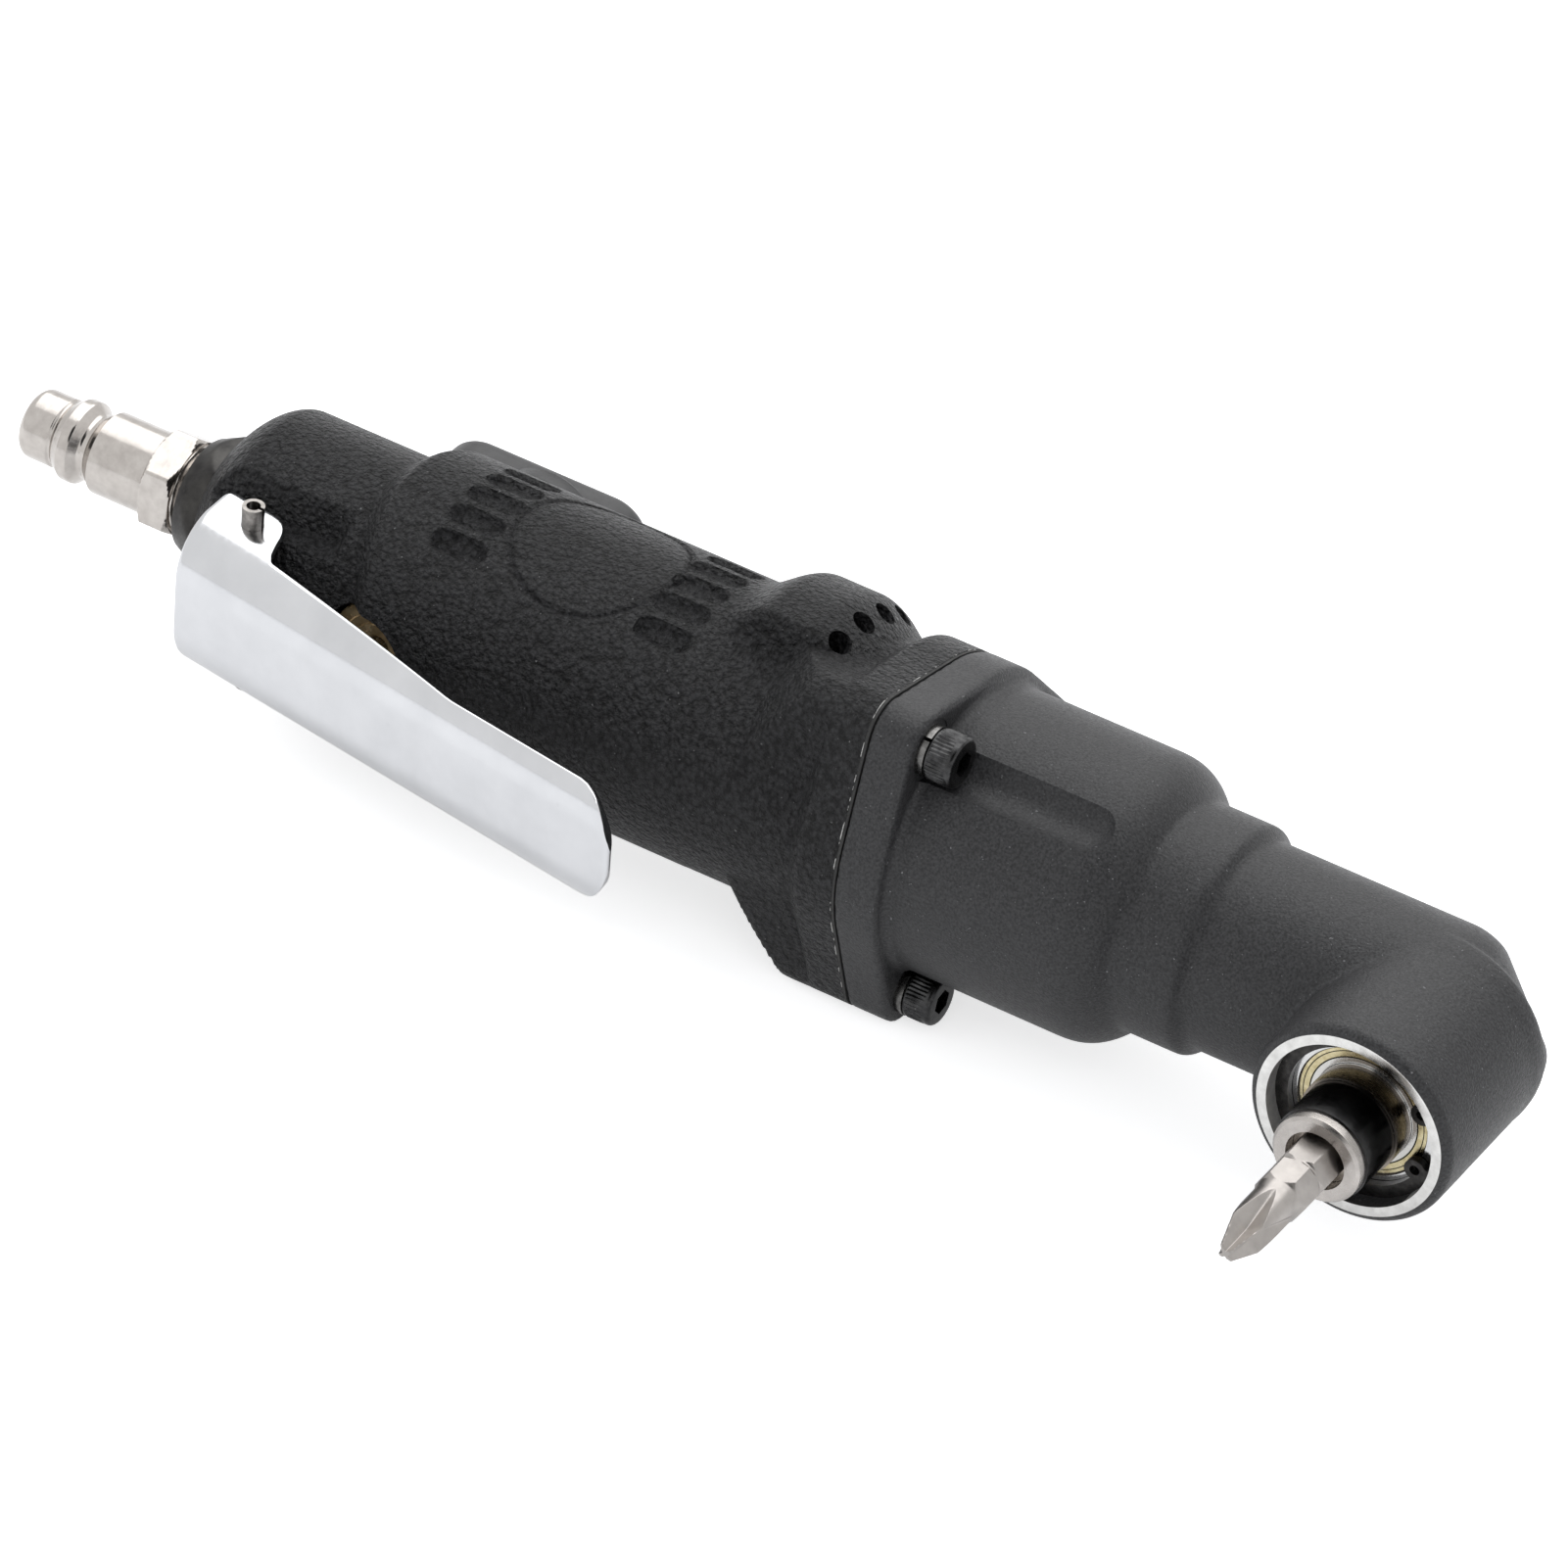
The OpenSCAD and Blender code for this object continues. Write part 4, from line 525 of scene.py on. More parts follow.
def worn_paint(tree, tone, speck_size, speck_level, speck_tone, chip_reach):
    """The tone of a paint with pale specks where a noise passes a level, and with a few bare chips
    along the joint between the two castings, where the paint has broken off its edge."""
    specks = remap(tree, noise_field(tree, speck_size, 2.0), speck_level, speck_level + 0.025, 0.0, 0.9)
    from_joint = combine(tree, "ABSOLUTE", combine(tree, "SUBTRACT", along(tree, "X"), parting_x + 0.2))
    edge = remap(tree, from_joint, 0.2, chip_reach, 1.0, 0.0)
    chips = remap(tree, noise_field(tree, 2.2, 4.0), 0.49, 0.58, 0.0, 1.0)
    chipped = remap(tree, combine(tree, "MULTIPLY", edge, chips), 0.25, 0.45, 0.0, 1.0)
    return tones(tree, chipped, tones(tree, specks, tone, speck_tone), (0.62, 0.61, 0.59))


def coat(piece, material, body, *stands_for, slot=None):
    """Gives a new piece its one material and its body, and hides the nodes that it stands for. The slot is not
    used.
    """
    piece.data.materials.clear()
    piece.data.materials.append(material)
    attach(piece, body)
    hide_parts(*stands_for)


pebble_size = 0.85
wrinkle_black, wrinkle, wrinkle_shader = new_material("wrinkle_black")
pebble_place = wrinkle.nodes.new("ShaderNodeTexCoord")
pebbles = wrinkle.nodes.new("ShaderNodeTexVoronoi")
pebbles.feature = "SMOOTH_F1"
fill(wrinkle, pebbles, {"Scale": 1000.0 / pebble_size, "Smoothness": 0.35,
                        "Vector": pebble_place.outputs["Object"]})
wrinkle_height = combine(wrinkle, "SUBTRACT", noise_field(wrinkle, 0.42, 3.0), combine(
    wrinkle, "MULTIPLY", pebbles.outputs["Distance"], 0.7))
# The tone differs at random, and because it follows the wrinkle height the creases between the pebbles are
# darker: painted shade.
wrinkle_tone_and_crease_shade = tones(wrinkle, remap(wrinkle, wrinkle_height, -0.05, 0.42, 0.0, 1.0),
                   (0.0035, 0.0035, 0.0038), (0.027, 0.027, 0.0285))
fill(wrinkle, wrinkle_shader, {
    "Base Color": worn_paint(wrinkle, wrinkle_tone_and_crease_shade, 0.55, 0.735, (0.20, 0.20, 0.20), 0.34),
    "Roughness": remap(wrinkle, noise_field(wrinkle, 0.5, 2.0), 0.3, 0.7, 0.28, 0.5),
    "Specular IOR Level": 0.26})
relief(wrinkle, wrinkle_shader, wrinkle_height, 0.8)
coat(handle, wrinkle_black, "housing", "handle_housing", slot="handle_black")


# Inlet bushing: a black hexagon nut of oxidised steel with a chamfered rear edge, screwed
# into the back of the handle by its shank, and bored for the air plug's pipe thread.

bushing_x = 26.8
bushing_af = 17.0


def hexagon(angle, across):
    """Radius of a hexagon along each ray: half its width over the cosine of the angle to the middle
    of the nearest flat, with its corners, which lie at 0, 60 ... degrees, rounded off by a smooth
    minimum with a circle."""
    to_flat = np.deg2rad(angle % 60.0 - 30.0)
    return blend_min(across / 2.0 / np.cos(to_flat), across * 0.571, 0.12)


nut_x = np.array([26.8, 26.86, 27.2, 27.6, 28.0, 28.5, 29.0, 29.5, 30.0, 30.6, 31.2, 31.5, 31.6, 31.61,
                  43.4])[:, None]
nut_angle = np.linspace(0.0, 360.0, 241)[None, :-1]
nut_radius = blend_min(hexagon(nut_angle, bushing_af), 7.75 + 0.47 * (nut_x - bushing_x), 0.1)
nut_radius = nut_radius - 0.15 * ease((nut_x - 31.4) / 0.2) - 0.15 * ease((26.83 - nut_x) / 0.05)
nut_radius = np.where(nut_x > 31.6, 8.0, nut_radius)
inlet_nut = skin_mesh("inlet_bushing_nut", place_rows(nut_x, nut_radius, nut_angle), shade_angle=24.0)
inlet_nut = carve(inlet_nut, [
    drill((26.0, 0.0, 0.0), main_axis, 6.25, 10.2),
    drill((26.0, 0.0, 0.0), main_axis, 4.6, 18.0)], shade_angle=24.0)


def steel_finish(name, dark, pale, rough, grain=2.0, stretch=(1.0, 1.0, 1.0), depth=0.0, metallic=1.0,
                 scuffs=None):
    """A material that wanders between two tones and two roughnesses over noise cells of one size in
    millimetres. Fine marks, a tenth of that size across and drawn out by the stretch, give it
    relief; scuffs add small patches of a third tone."""
    material, tree, shader = new_material(name)
    colour = tones(tree, remap(tree, noise_field(tree, grain, 4.0), 0.3, 0.7, 0.0, 1.0), dark, pale)
    marks = noise_field(tree, grain * 0.1, 2.0, stretch)
    if scuffs:
        patches = remap(tree, noise_field(tree, grain * 0.45, 5.0), 0.70, 0.78, 0.0, 0.8)
        colour = tones(tree, patches, colour, scuffs)
    fill(tree, shader, {"Base Color": colour, "Metallic": metallic,
                        "Roughness": remap(tree, marks, 0.3, 0.7, rough[0], rough[1])})
    if depth:
        relief(tree, shader, marks, depth)
    return material


black_oxide = steel_finish("black_oxide", (0.030, 0.029, 0.029), (0.065, 0.063, 0.060), (0.30, 0.46), 2.6,
                           depth=0.012, scuffs=(0.14, 0.13, 0.12))
coat(inlet_nut, black_oxide, "housing", "inlet_bushing", slot="bushing_black")


# Air plug: the nickel-plated steel nipple that the air hose's coupler snaps onto. It is turned
# in one piece with its hexagon and screwed into the bushing with a tapered pipe thread.

plug_end_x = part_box("air_plug")[1][0] * 1000.0
thread_pitch = 1.34


def plug_radius(x, angle):
    """Radius of the plug: a rounded nose, a groove, the locking ridge between two cones, a waist,
    the plain body, the chamfered hexagon, and a thread whose triangular crests climb one pitch in
    each turn."""
    nose = np.where(x < 1.4, 3.4 + np.sqrt(np.maximum(1.96 - (1.4 - x) ** 2, 0.0)), 4.8)
    outline = np.interp(
        x, (0.0, 4.85, 5.05, 5.3, 5.75, 6.0, 6.75, 7.0, 8.2, 8.5, 9.55, 9.9, 10.5, 11.2, 11.9, 20.6),
        (4.8, 4.8, 4.55, 4.55, 4.9, 5.05, 5.55, 5.7, 5.7, 5.6, 4.5, 4.4, 4.5, 5.15, 5.7, 5.7))
    outline = np.where(x < 4.0, nose, outline)
    cone = np.minimum(6.55 + 1.6 * (x - 20.6), 6.55 + 1.6 * (25.2 - x))
    nut = blend_min(hexagon(angle - 22.0, 13.0), cone, 0.12)
    phase = (x / thread_pitch - angle / 360.0) % 1.0
    thread = 5.6 + 0.6 * np.clip(1.25 - np.abs(phase - 0.5) * 2.9, 0.0, 1.0)
    lead = thread - 1.1 * ease((x - plug_end_x + 1.3) / 1.3)
    return np.where(x <= 20.6, outline, np.where(x <= 25.2, nut, lead))


plug_x = spaced(0.0, (1.4, 0.1), (4.8, 0.4), (12.0, 0.1), (20.6, 0.8))
plug_x = np.concatenate([plug_x, [20.605], spaced(20.66, (22.6, 0.16), (25.19, 0.16)),
                         spaced(25.205, (plug_end_x, 0.11))])[:, None]
plug_angle = np.linspace(0.0, 360.0, 181)[None, :-1]
air_nipple = skin_mesh("air_plug_nipple", place_rows(plug_x, plug_radius(plug_x, plug_angle), plug_angle),
                       shade_angle=26.0)
plug_bore = turned("plug_bore", [(3.7, -0.3), (2.9, 0.5), (2.9, plug_end_x + 1.0)], (0.0, 0.0, 0.0))
air_nipple = carve(air_nipple, [plug_bore], shade_angle=26.0)
bright_nickel = steel_finish("bright_nickel", (0.45, 0.42, 0.395), (0.55, 0.52, 0.49), (0.10, 0.22), 1.6,
                             (0.35, 14.0, 14.0), 0.006, scuffs=(0.40, 0.37, 0.33))
coat(air_nipple, bright_nickel, "housing", "air_plug", slot="nickel")


# Screen and sealing parts: a pierced steel disc in the bushing keeps grit out of the valve,
# and black rubber rings seal the throttle's head and the reversing valve.


def dress(material, *names):
    """Gives solids from the CAD model a material in every slot that they have."""
    for name in names:
        solid = nodes[name]
        if not solid.material_slots:
            solid.data.materials.append(material)
        for place in solid.material_slots:
            place.material = material


dress(steel_finish("screen_steel", (0.42, 0.42, 0.41), (0.60, 0.60, 0.59), (0.25, 0.4), 1.0),
      "inlet_screen")
dress(steel_finish("seal_rubber", (0.018, 0.018, 0.018), (0.032, 0.031, 0.030), (0.55, 0.8), 1.4,
                   metallic=0.0, depth=0.01), "throttle_seal", "reverse_seal")


# Throttle: a turned brass bushing stands a little proud of its spot face in the handle and
# guides the bright steel push stem that the lever presses in against a spring.

turned_brass = steel_finish("turned_brass", (0.60, 0.41, 0.20), (0.82, 0.64, 0.38), (0.14, 0.3), 1.3,
                            (8.0, 0.35, 8.0), 0.006, metallic=0.6)
guide_profile = [
    (4.35, 7.0), (4.35, 12.4), (6.3, 12.4), (6.5, 12.45), (6.5, 13.5), (6.4, 13.75), (6.15, 13.85),
    (4.9, 13.85), (4.7, 13.55), (3.6, 13.55), (3.4, 13.85), (2.0, 13.85), (1.55, 13.6), (1.55, 6.4),
    (1.55, 7.0)]
brass_guide = turned("throttle_guide", guide_profile, (throttle_x, 0.0, 0.0), to_bit, ring=True,
                     shade_angle=25.0)
coat(brass_guide, turned_brass, "housing", "throttle_bushing", slot="brass")
ground_steel = steel_finish("ground_steel", (0.45, 0.45, 0.45), (0.66, 0.66, 0.65), (0.16, 0.30), 2.0,
                            (0.4, 6.0, 6.0), 0.004)
dress(ground_steel, "throttle_stem", "reverse_valve")
spring_wire = steel_finish("spring_wire", (0.34, 0.33, 0.32), (0.56, 0.55, 0.53), (0.22, 0.38), 0.9)
dress(spring_wire, "detent_spring", "detent_ball")


def coil(name, start, axis, mean_r, wire_r, turns, length, around=10):
    """A coil spring in millimetres: the middle of its round wire goes round the axis at one radius
    while it rises evenly."""
    turn = np.linspace(0.0, turns * 2.0 * math.pi, int(turns * 36) + 1)[:, None]
    wire = np.linspace(0.0, 2.0 * math.pi, around + 1)[None, :-1]
    axis = np.array(axis, float)
    reach = (mean_r + wire_r * np.cos(wire))[..., None]
    rise = wire_r + (length - 2.0 * wire_r) * turn / turn[-1] + wire_r * np.sin(wire)
    spoke = (np.cos(turn)[..., None] * np.array((1.0, 0.0, 0.0))
             + np.sin(turn)[..., None] * np.cross(axis, (1.0, 0.0, 0.0)))
    return skin_mesh(name, np.array(start, float) + reach * spoke + rise[..., None] * axis)


throttle_coil = coil("throttle_spring_coil", (throttle_x, 5.95, 0.0), to_bit, 2.6, 0.35, 6.0, 9.8)
coat(throttle_coil, spring_wire, "housing", "throttle_spring", slot="spring_steel")
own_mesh(throttle_coil)


# Reversing knob: a black die-cast wing over a round hub, held on the valve's end by one screw
# and turned a little to either side to choose tightening or loosening.

wing_x = 63.8
wing_half_len = 15.2
wing_half_w = 5.5
wing_corner_r = 5.2
wing_low_y = 20.2
wing_high_y = 26.8
wing_edge_r = 2.6


def stadium(half_len, half_w, corner_r, steps=24):
    """Points round a rectangle whose corners are quarter circles, as their x and z values."""
    turn = np.deg2rad((np.arange(4)[:, None] * 90.0 + np.linspace(0.0, 90.0, steps)[None, :]).ravel())
    return (np.repeat((1.0, -1.0, -1.0, 1.0), steps) * (half_len - corner_r) + corner_r * np.cos(turn),
            np.repeat((1.0, 1.0, -1.0, -1.0), steps) * (half_w - corner_r) + corner_r * np.sin(turn))


wing_turn = np.deg2rad(np.linspace(0.0, 90.0, 11))
wing_shoulder_y = wing_high_y - wing_edge_r
wing_levels = np.concatenate([
    [wing_low_y], wing_low_y + 0.6 * (1.0 - np.cos(wing_turn[2:8:2])), [wing_low_y + 0.9],
    spaced(wing_low_y + 1.4, (wing_shoulder_y, 0.6)), wing_shoulder_y + wing_edge_r * np.sin(wing_turn[1:])])
wing_round = np.sqrt(np.maximum(wing_edge_r ** 2 - (wing_levels - wing_high_y + wing_edge_r) ** 2, 0.0))
wing_inset = np.where(wing_levels > wing_shoulder_y, wing_edge_r - wing_round,
                      0.5 * ease((wing_low_y + 0.9 - wing_levels) / 0.9))
wing_x_ring, wing_z_ring = stadium(wing_half_len, wing_half_w, wing_corner_r)
wing_scale_x = ((wing_half_len - wing_inset) / wing_half_len)[:, None]
wing_scale_z = ((wing_half_w - wing_inset) / wing_half_w)[:, None]
wing_grid = np.stack(np.broadcast_arrays(
    wing_x + wing_scale_x * wing_x_ring, wing_levels[:, None], wing_scale_z * wing_z_ring), axis=-1)
knob = skin_mesh("reversing_knob", wing_grid, shade_angle=40.0)
hub = turned("hub", [(7.3, 0.0), (7.9, 0.5), (7.9, 2.5), (7.5, 3.0)], (reverse_x, 19.45, 0.0), to_knob)
knob = carve(knob, [hub], "UNION", 40.0)
knob = carve(knob, [drill((reverse_x, 19.0, 0.0), to_knob, 2.5, 9.0)], shade_angle=40.0)
knob_paint = steel_finish("knob_paint", (0.020, 0.020, 0.021), (0.036, 0.036, 0.037), (0.34, 0.5), 1.6,
                          metallic=0.0, depth=0.02, scuffs=(0.085, 0.083, 0.08))
coat(knob, knob_paint, "reverser", "reverse_knob", slot="knob_black")
dress(steel_finish("zinc_plate", (0.42, 0.41, 0.40), (0.58, 0.57, 0.55), (0.2, 0.36), 1.2, depth=0.006),
      "knob_screw")


# Lever: one strip of steel pressed to a channel, polished and chromed. Its two ears hang on a
# hollow roll pin that is driven through the lug under the handle.

lever_rear_x = 36.8
lever_half_w = 11.4
lever_tip_x = 103.0
lever_corner_r = 7.5
lever_sheet = 1.4
lever_flat = lever_half_w - lever_corner_r
lever_arc = lever_corner_r * math.pi / 2.0


def lever_back(x):
    """Height of the lever's outer middle line, which falls away evenly from its rear end."""
    return -22.0 - 0.156 * (x - lever_rear_x)


def lever_edge(x):
    """Height of the lever's free edge: over the ear with its two rounded corners, down into a small
    notch, and then straight on in a slope that meets the tip a lip's height above the back."""
    ear = np.interp(
        x, (36.8, 36.9, 37.1, 37.5, 37.9, 38.4, 44.6, 45.6, 46.4, 47.1, 47.6, 48.0, 48.3, 49.0, 49.5, 49.9),
        (-12.0, -11.4, -10.9, -10.55, -10.4, -10.4, -11.3, -11.6, -12.1, -12.9, -13.8, -14.9, -16.0, -18.4,
         -19.2, -19.4))
    slope = -19.4 - 0.2436 * (x - 49.9)
    return np.where(x < 49.9, ear, np.maximum(slope, lever_back(x) + 1.3 * lever_sheet))


def lever_reach(x):
    """Arc length from the middle line to the free edge: as far as the edge's height or the plan's
    outline lets the channel go, whichever comes first."""
    depth = lever_edge(x) - lever_back(x)
    by_height = (lever_flat + lever_corner_r * np.arccos(np.clip(1.0 - depth / lever_corner_r, 0.0, 1.0))
                 + np.maximum(depth - lever_corner_r, 0.0))
    tip = np.clip((x - lever_tip_x) / 7.6, 0.0, 1.0)
    half_w = np.where(x > lever_tip_x, 8.9 * np.sqrt(1.0 - tip ** 2.4), 30.0)
    by_plan = np.where(half_w < lever_flat, half_w, lever_flat + lever_corner_r * np.arcsin(
        np.clip((half_w - lever_flat) / lever_corner_r, 0.0, 1.0)))
    return np.minimum(by_height, np.where(half_w > lever_half_w, 100.0, by_plan))


def lever_section(x, share, inset):
    """Points of the channel at station x: the arc length, a share of the reach, runs along half the
    flat back, round the corner and up the side; the inset moves each point inwards along its
    normal."""
    length = share * lever_reach(x)
    run = np.abs(length)
    turn = np.clip((run - lever_flat) / lever_corner_r, 0.0, math.pi / 2.0)
    across = np.minimum(run, lever_flat) + (lever_corner_r - inset) * np.sin(turn)
    past_corner = np.maximum(run - lever_flat - lever_arc, 0.0)
    up = lever_corner_r - (lever_corner_r - inset) * np.cos(turn) + past_corner
    return np.stack(np.broadcast_arrays(x, lever_back(x) + up, np.sign(length) * across), axis=-1)


lever_x = np.concatenate([
    [36.8, 36.805, 36.87, 37.0, 37.2],
    spaced(37.5, (39.0, 0.3), (44.5, 0.7), (50.3, 0.14), (106.5, 1.2), (109.9, 0.25)),
    [110.1, 110.25, 110.36, 110.44, 110.49, 110.5]])[:, None]
wall = lever_sheet * np.sqrt(np.clip(1.0 - np.clip((lever_x - 109.8) / 0.7, 0.0, 1.0) ** 2, 0.0, 1.0))
wall = wall * np.sqrt(np.clip(1.0 - np.clip((37.5 - lever_x) / 0.7, 0.0, 1.0) ** 2, 0.0, 1.0))
across_share = np.sin(np.linspace(-0.5, 0.5, 65) * math.pi) * 0.25 + np.linspace(-1.0, 1.0, 65) * 0.75
lip = np.linspace(0.0, math.pi, 7)[1:-1]
lip_share = 1.0 + 0.03 * np.sin(lip)
section_share = np.concatenate([across_share, lip_share, across_share[::-1], -lip_share])[None, :]
section_inset = np.concatenate([
    np.zeros(65), (1.0 - np.cos(lip)) / 2.0, np.ones(65), (1.0 + np.cos(lip)) / 2.0])[None, :]
lever_grid = lever_section(lever_x, section_share, lever_sheet / 2.0 + wall * (section_inset - 0.5))
lever = skin_mesh("lever_channel", lever_grid, shade_angle=50.0, fold=True)
pin_hole = drill((lever_pin[0], lever_pin[1], -14.0), (0.0, 0.0, 1.0), 1.53, 28.0)
lever = carve(lever, [pin_hole], shade_angle=50.0)
polished_chrome = steel_finish("polished_chrome", (0.60, 0.607, 0.625), (0.655, 0.662, 0.68), (0.11, 0.18),
                               7.0, scuffs=(0.54, 0.545, 0.555))
coat(lever, polished_chrome, "lever", "trigger_lever", slot="lever_chrome")
dress(steel_finish("pin_steel", (0.20, 0.19, 0.18), (0.36, 0.34, 0.32), (0.26, 0.42), 0.8, (6.0, 6.0, 0.4),
                   0.006), "lever_pin")


# Gasket: a thin sheet of compressed dark fibre with the flange's outline, punched for the screws
# and clamped between the handle and the gear case; its worn edge shows pale.

dress(steel_finish("fibre_sheet", (0.012, 0.012, 0.012), (0.030, 0.030, 0.029), (0.6, 0.85), 3.2,
                   metallic=0.0, depth=0.02, scuffs=(0.42, 0.41, 0.39)), "flange_gasket")


# Gear case and angle head: one sand-cast aluminium part in a finer satin black. The barrel for
# the spindle stands across the neck, and the screw scallops and the bores are cut afterwards.

case_x = 136.4
flange_face_x = 142.6
case_r = 19.4
case_dome_x = 165.2
case_dome_len = 7.8
neck_r = 14.05
collar_r = 15.5
collar_step_x = 180.8
nose_x = 210.2
cone_x = 214.4
cone_r = 13.0
cone_fall = 0.885
head_x = 211.5
rim_dist = 22.5
barrel_r = 14.2


def case_radius(x, angle):
    """Radius of the gear case round the main axis: the flange's outline with a rounded front edge,
    a small fillet up to the round case, a dome that falls away as a power down to the collar, an
    eased step to the neck, and a nose that falls away as a parabola and then as a straight cone."""
    edge = np.sqrt(np.maximum(0.5625 - np.maximum(x - flange_face_x + 0.75, 0.0) ** 2, 0.0))
    flange = flange_outline(angle) - 0.75 + edge
    foot = 0.8 * np.maximum(1.0 - (x - flange_face_x) / 0.8, 0.0) ** 2
    dome = case_r - (case_r - collar_r) * np.clip((x - case_dome_x) / case_dome_len, 0.0, 1.0) ** 2.7
    neck = neck_r + (collar_r - neck_r) * (1.0 - ease(ease((x - collar_step_x) / 2.8)))
    nose = neck_r - 1.05 * np.clip((x - nose_x) / 4.2, 0.0, 1.0) ** 2
    nose = np.where(x < cone_x, nose, cone_r - cone_fall * (x - cone_x))
    body = np.where(x < 173.0, dome, np.where(x < 205.0, neck, nose))
    return np.where(x <= flange_face_x, flange, body + foot)


case_stations = np.concatenate([
    spaced(case_x, (141.8, 0.6), (142.6, 0.1)),
    spaced(142.605, (143.5, 0.13), (165.0, 1.2), (174.0, 0.3), (180.5, 0.8), (184.0, 0.22), (210.0, 1.3),
           (214.4, 0.3), (225.2, 0.6)), [225.6, 225.7]])[:, None]
case_angle = np.linspace(0.0, 360.0, 289)[None, :-1]
case_skin = case_radius(case_stations, case_angle)
nose_end = case_skin * np.sqrt(np.maximum(1.0 - (case_stations - 225.1) / 0.62, 0.0))
case_skin = np.where(case_stations > 225.1, nose_end, case_skin)
case_casting = skin_mesh("gear_case_and_head", place_rows(case_stations, case_skin, case_angle),
                         shade_angle=30.0)
crown_rise = np.linspace(12.2, -0.4, 26)
crown_r = blend_min(np.full(26, barrel_r), 1.3 + (cone_r - crown_rise) / cone_fall, 3.0)
barrel_profile = np.concatenate([
    np.stack([crown_r, -crown_rise], axis=-1),
    np.stack([np.full(16, barrel_r), np.linspace(1.6, 15.0, 16)], axis=-1),
    [(barrel_r + 0.3, 18.5), (barrel_r + 0.3, rim_dist + 1.0)]])
barrel = turned("barrel", barrel_profile, (head_x, 0.0, 0.0), to_bit, 160)
case_casting = carve(case_casting, [barrel], "UNION", 30.0)

# An even mesh, smoothed a little, gives the casting the soft edges that sand leaves.
even = case_casting.modifiers.new("even_mesh", "REMESH")
even.mode = "VOXEL"
even.voxel_size = 0.00045
sand_cast = case_casting.modifiers.new("soft_edges", "SMOOTH")
sand_cast.factor = 0.5
sand_cast.iterations = 3
settle(case_casting, 35.0)

# The rim is trimmed sharp with a rounded edge, and then the scallops and the bores are cut.
rim_edge_r = 1.45
rim_turn = np.deg2rad(np.linspace(0.0, 90.0, 9))
rim_edge = np.stack([barrel_r - rim_edge_r + rim_edge_r * np.cos(rim_turn),
                     rim_dist - rim_edge_r + rim_edge_r * np.sin(rim_turn)], axis=-1)
rim_profile = np.concatenate([[(22.0, 27.0), (22.0, 14.6), (barrel_r + 0.02, 14.6)], rim_edge])
case_casting = carve(case_casting, [turned("rim_trim", rim_profile, (head_x, 0.0, 0.0), to_bit, 160)])
scallop_r = 4.25
scallop_turn = np.deg2rad(np.linspace(0.0, 89.0, 14))
scallop_profile = np.concatenate([[(scallop_r, 0.0)], np.stack([
    scallop_r * np.cos(scallop_turn), 22.95 + scallop_r * np.sin(scallop_turn)], axis=-1)])
case_casting = carve(case_casting, [
    turned("scallop", scallop_profile, bolt_place(142.5, a), main_axis, 72) for a in screw_angles])
case_cuts = [drill(bolt_place(parting_x, a), main_axis, 2.2, 7.0) for a in screw_angles]
case_cuts += [drill((parting_x, 0.0, 0.0), main_axis, r, end - parting_x, 128)
              for r, end in ((16.0, 149.8), (13.6, 152.8), (9.5, 189.0), (8.0, 207.5))]
case_cuts += [drill((head_x, -d, 0.0), to_bit, r, end - d, 128)
              for r, d, end in ((11.0, 2.5, 24.0), (12.1, 19.1, 20.2), (11.65, 19.1, 24.0), (5.0, -9.9, 2.6))]
case_casting = carve(case_casting, case_cuts, shade_angle=30.0)

satin_black, satin, satin_shader = new_material("satin_black")
satin_grain = noise_field(satin, 0.34, 3.0)
# The tone differs at random with the grain, and because the same grain sets the relief its hollows are darker:
# painted shade.
satin_tone_and_hollow_shade = tones(satin, remap(satin, satin_grain, 0.34, 0.66, 0.0, 1.0),
                   (0.013, 0.013, 0.0138), (0.039, 0.039, 0.0405))
fill(satin, satin_shader, {
    "Base Color": worn_paint(satin, satin_tone_and_hollow_shade, 0.5, 0.715, (0.17, 0.17, 0.175), 0.38),
    "Roughness": remap(satin, noise_field(satin, 0.5, 3.0), 0.3, 0.7, 0.34, 0.5),
    "Specular IOR Level": 0.32})
relief(satin, satin_shader, satin_grain, 0.12)
bare_rim = steel_finish("bare_rim", (0.58, 0.575, 0.56), (0.76, 0.755, 0.74), (0.12, 0.26), 1.6,
                        (8.0, 0.4, 8.0), 0.008)
bore_grey = steel_finish("bore_grey", (0.36, 0.355, 0.35), (0.50, 0.495, 0.48), (0.3, 0.5), 1.5, depth=0.01,
                         metallic=0.35)
coat(case_casting, satin_black, "housing", "angle_head_housing", slot="case_black")
case_casting.data.materials.append(bare_rim)
case_casting.data.materials.append(bore_grey)
middles = np.empty(len(case_casting.data.polygons) * 3)
case_casting.data.polygons.foreach_get("center", middles)
middle_x, middle_y, middle_z = middles.reshape(-1, 3).T * 1000.0
from_spindle = np.hypot(middle_x - head_x, middle_z)
from_main = np.hypot(middle_y, middle_z)
on_rim = (middle_y < 0.2 - rim_dist) & (from_spindle < 13.1)
in_barrel = (middle_y > 0.1 - rim_dist) & (middle_y < -2.4) & (from_spindle < 12.15) & (from_main < 23.0)
in_case = (middle_x > 136.3) & (middle_x < 189.1) & (from_main < np.where(middle_x < 150.0, 16.1, 13.7))
finish_index = np.where(in_barrel | in_case, 2, np.where(on_rim, 1, 0))
case_casting.data.polygons.foreach_set("material_index", finish_index.astype(np.int32))


# Case screws: three knurled socket heads in black oxide on split spring washers, which pull
# the gear case down onto the handle's flange.

screw_seat_x = 143.6
screw_head_r = 3.5
screw_pitch = 0.7


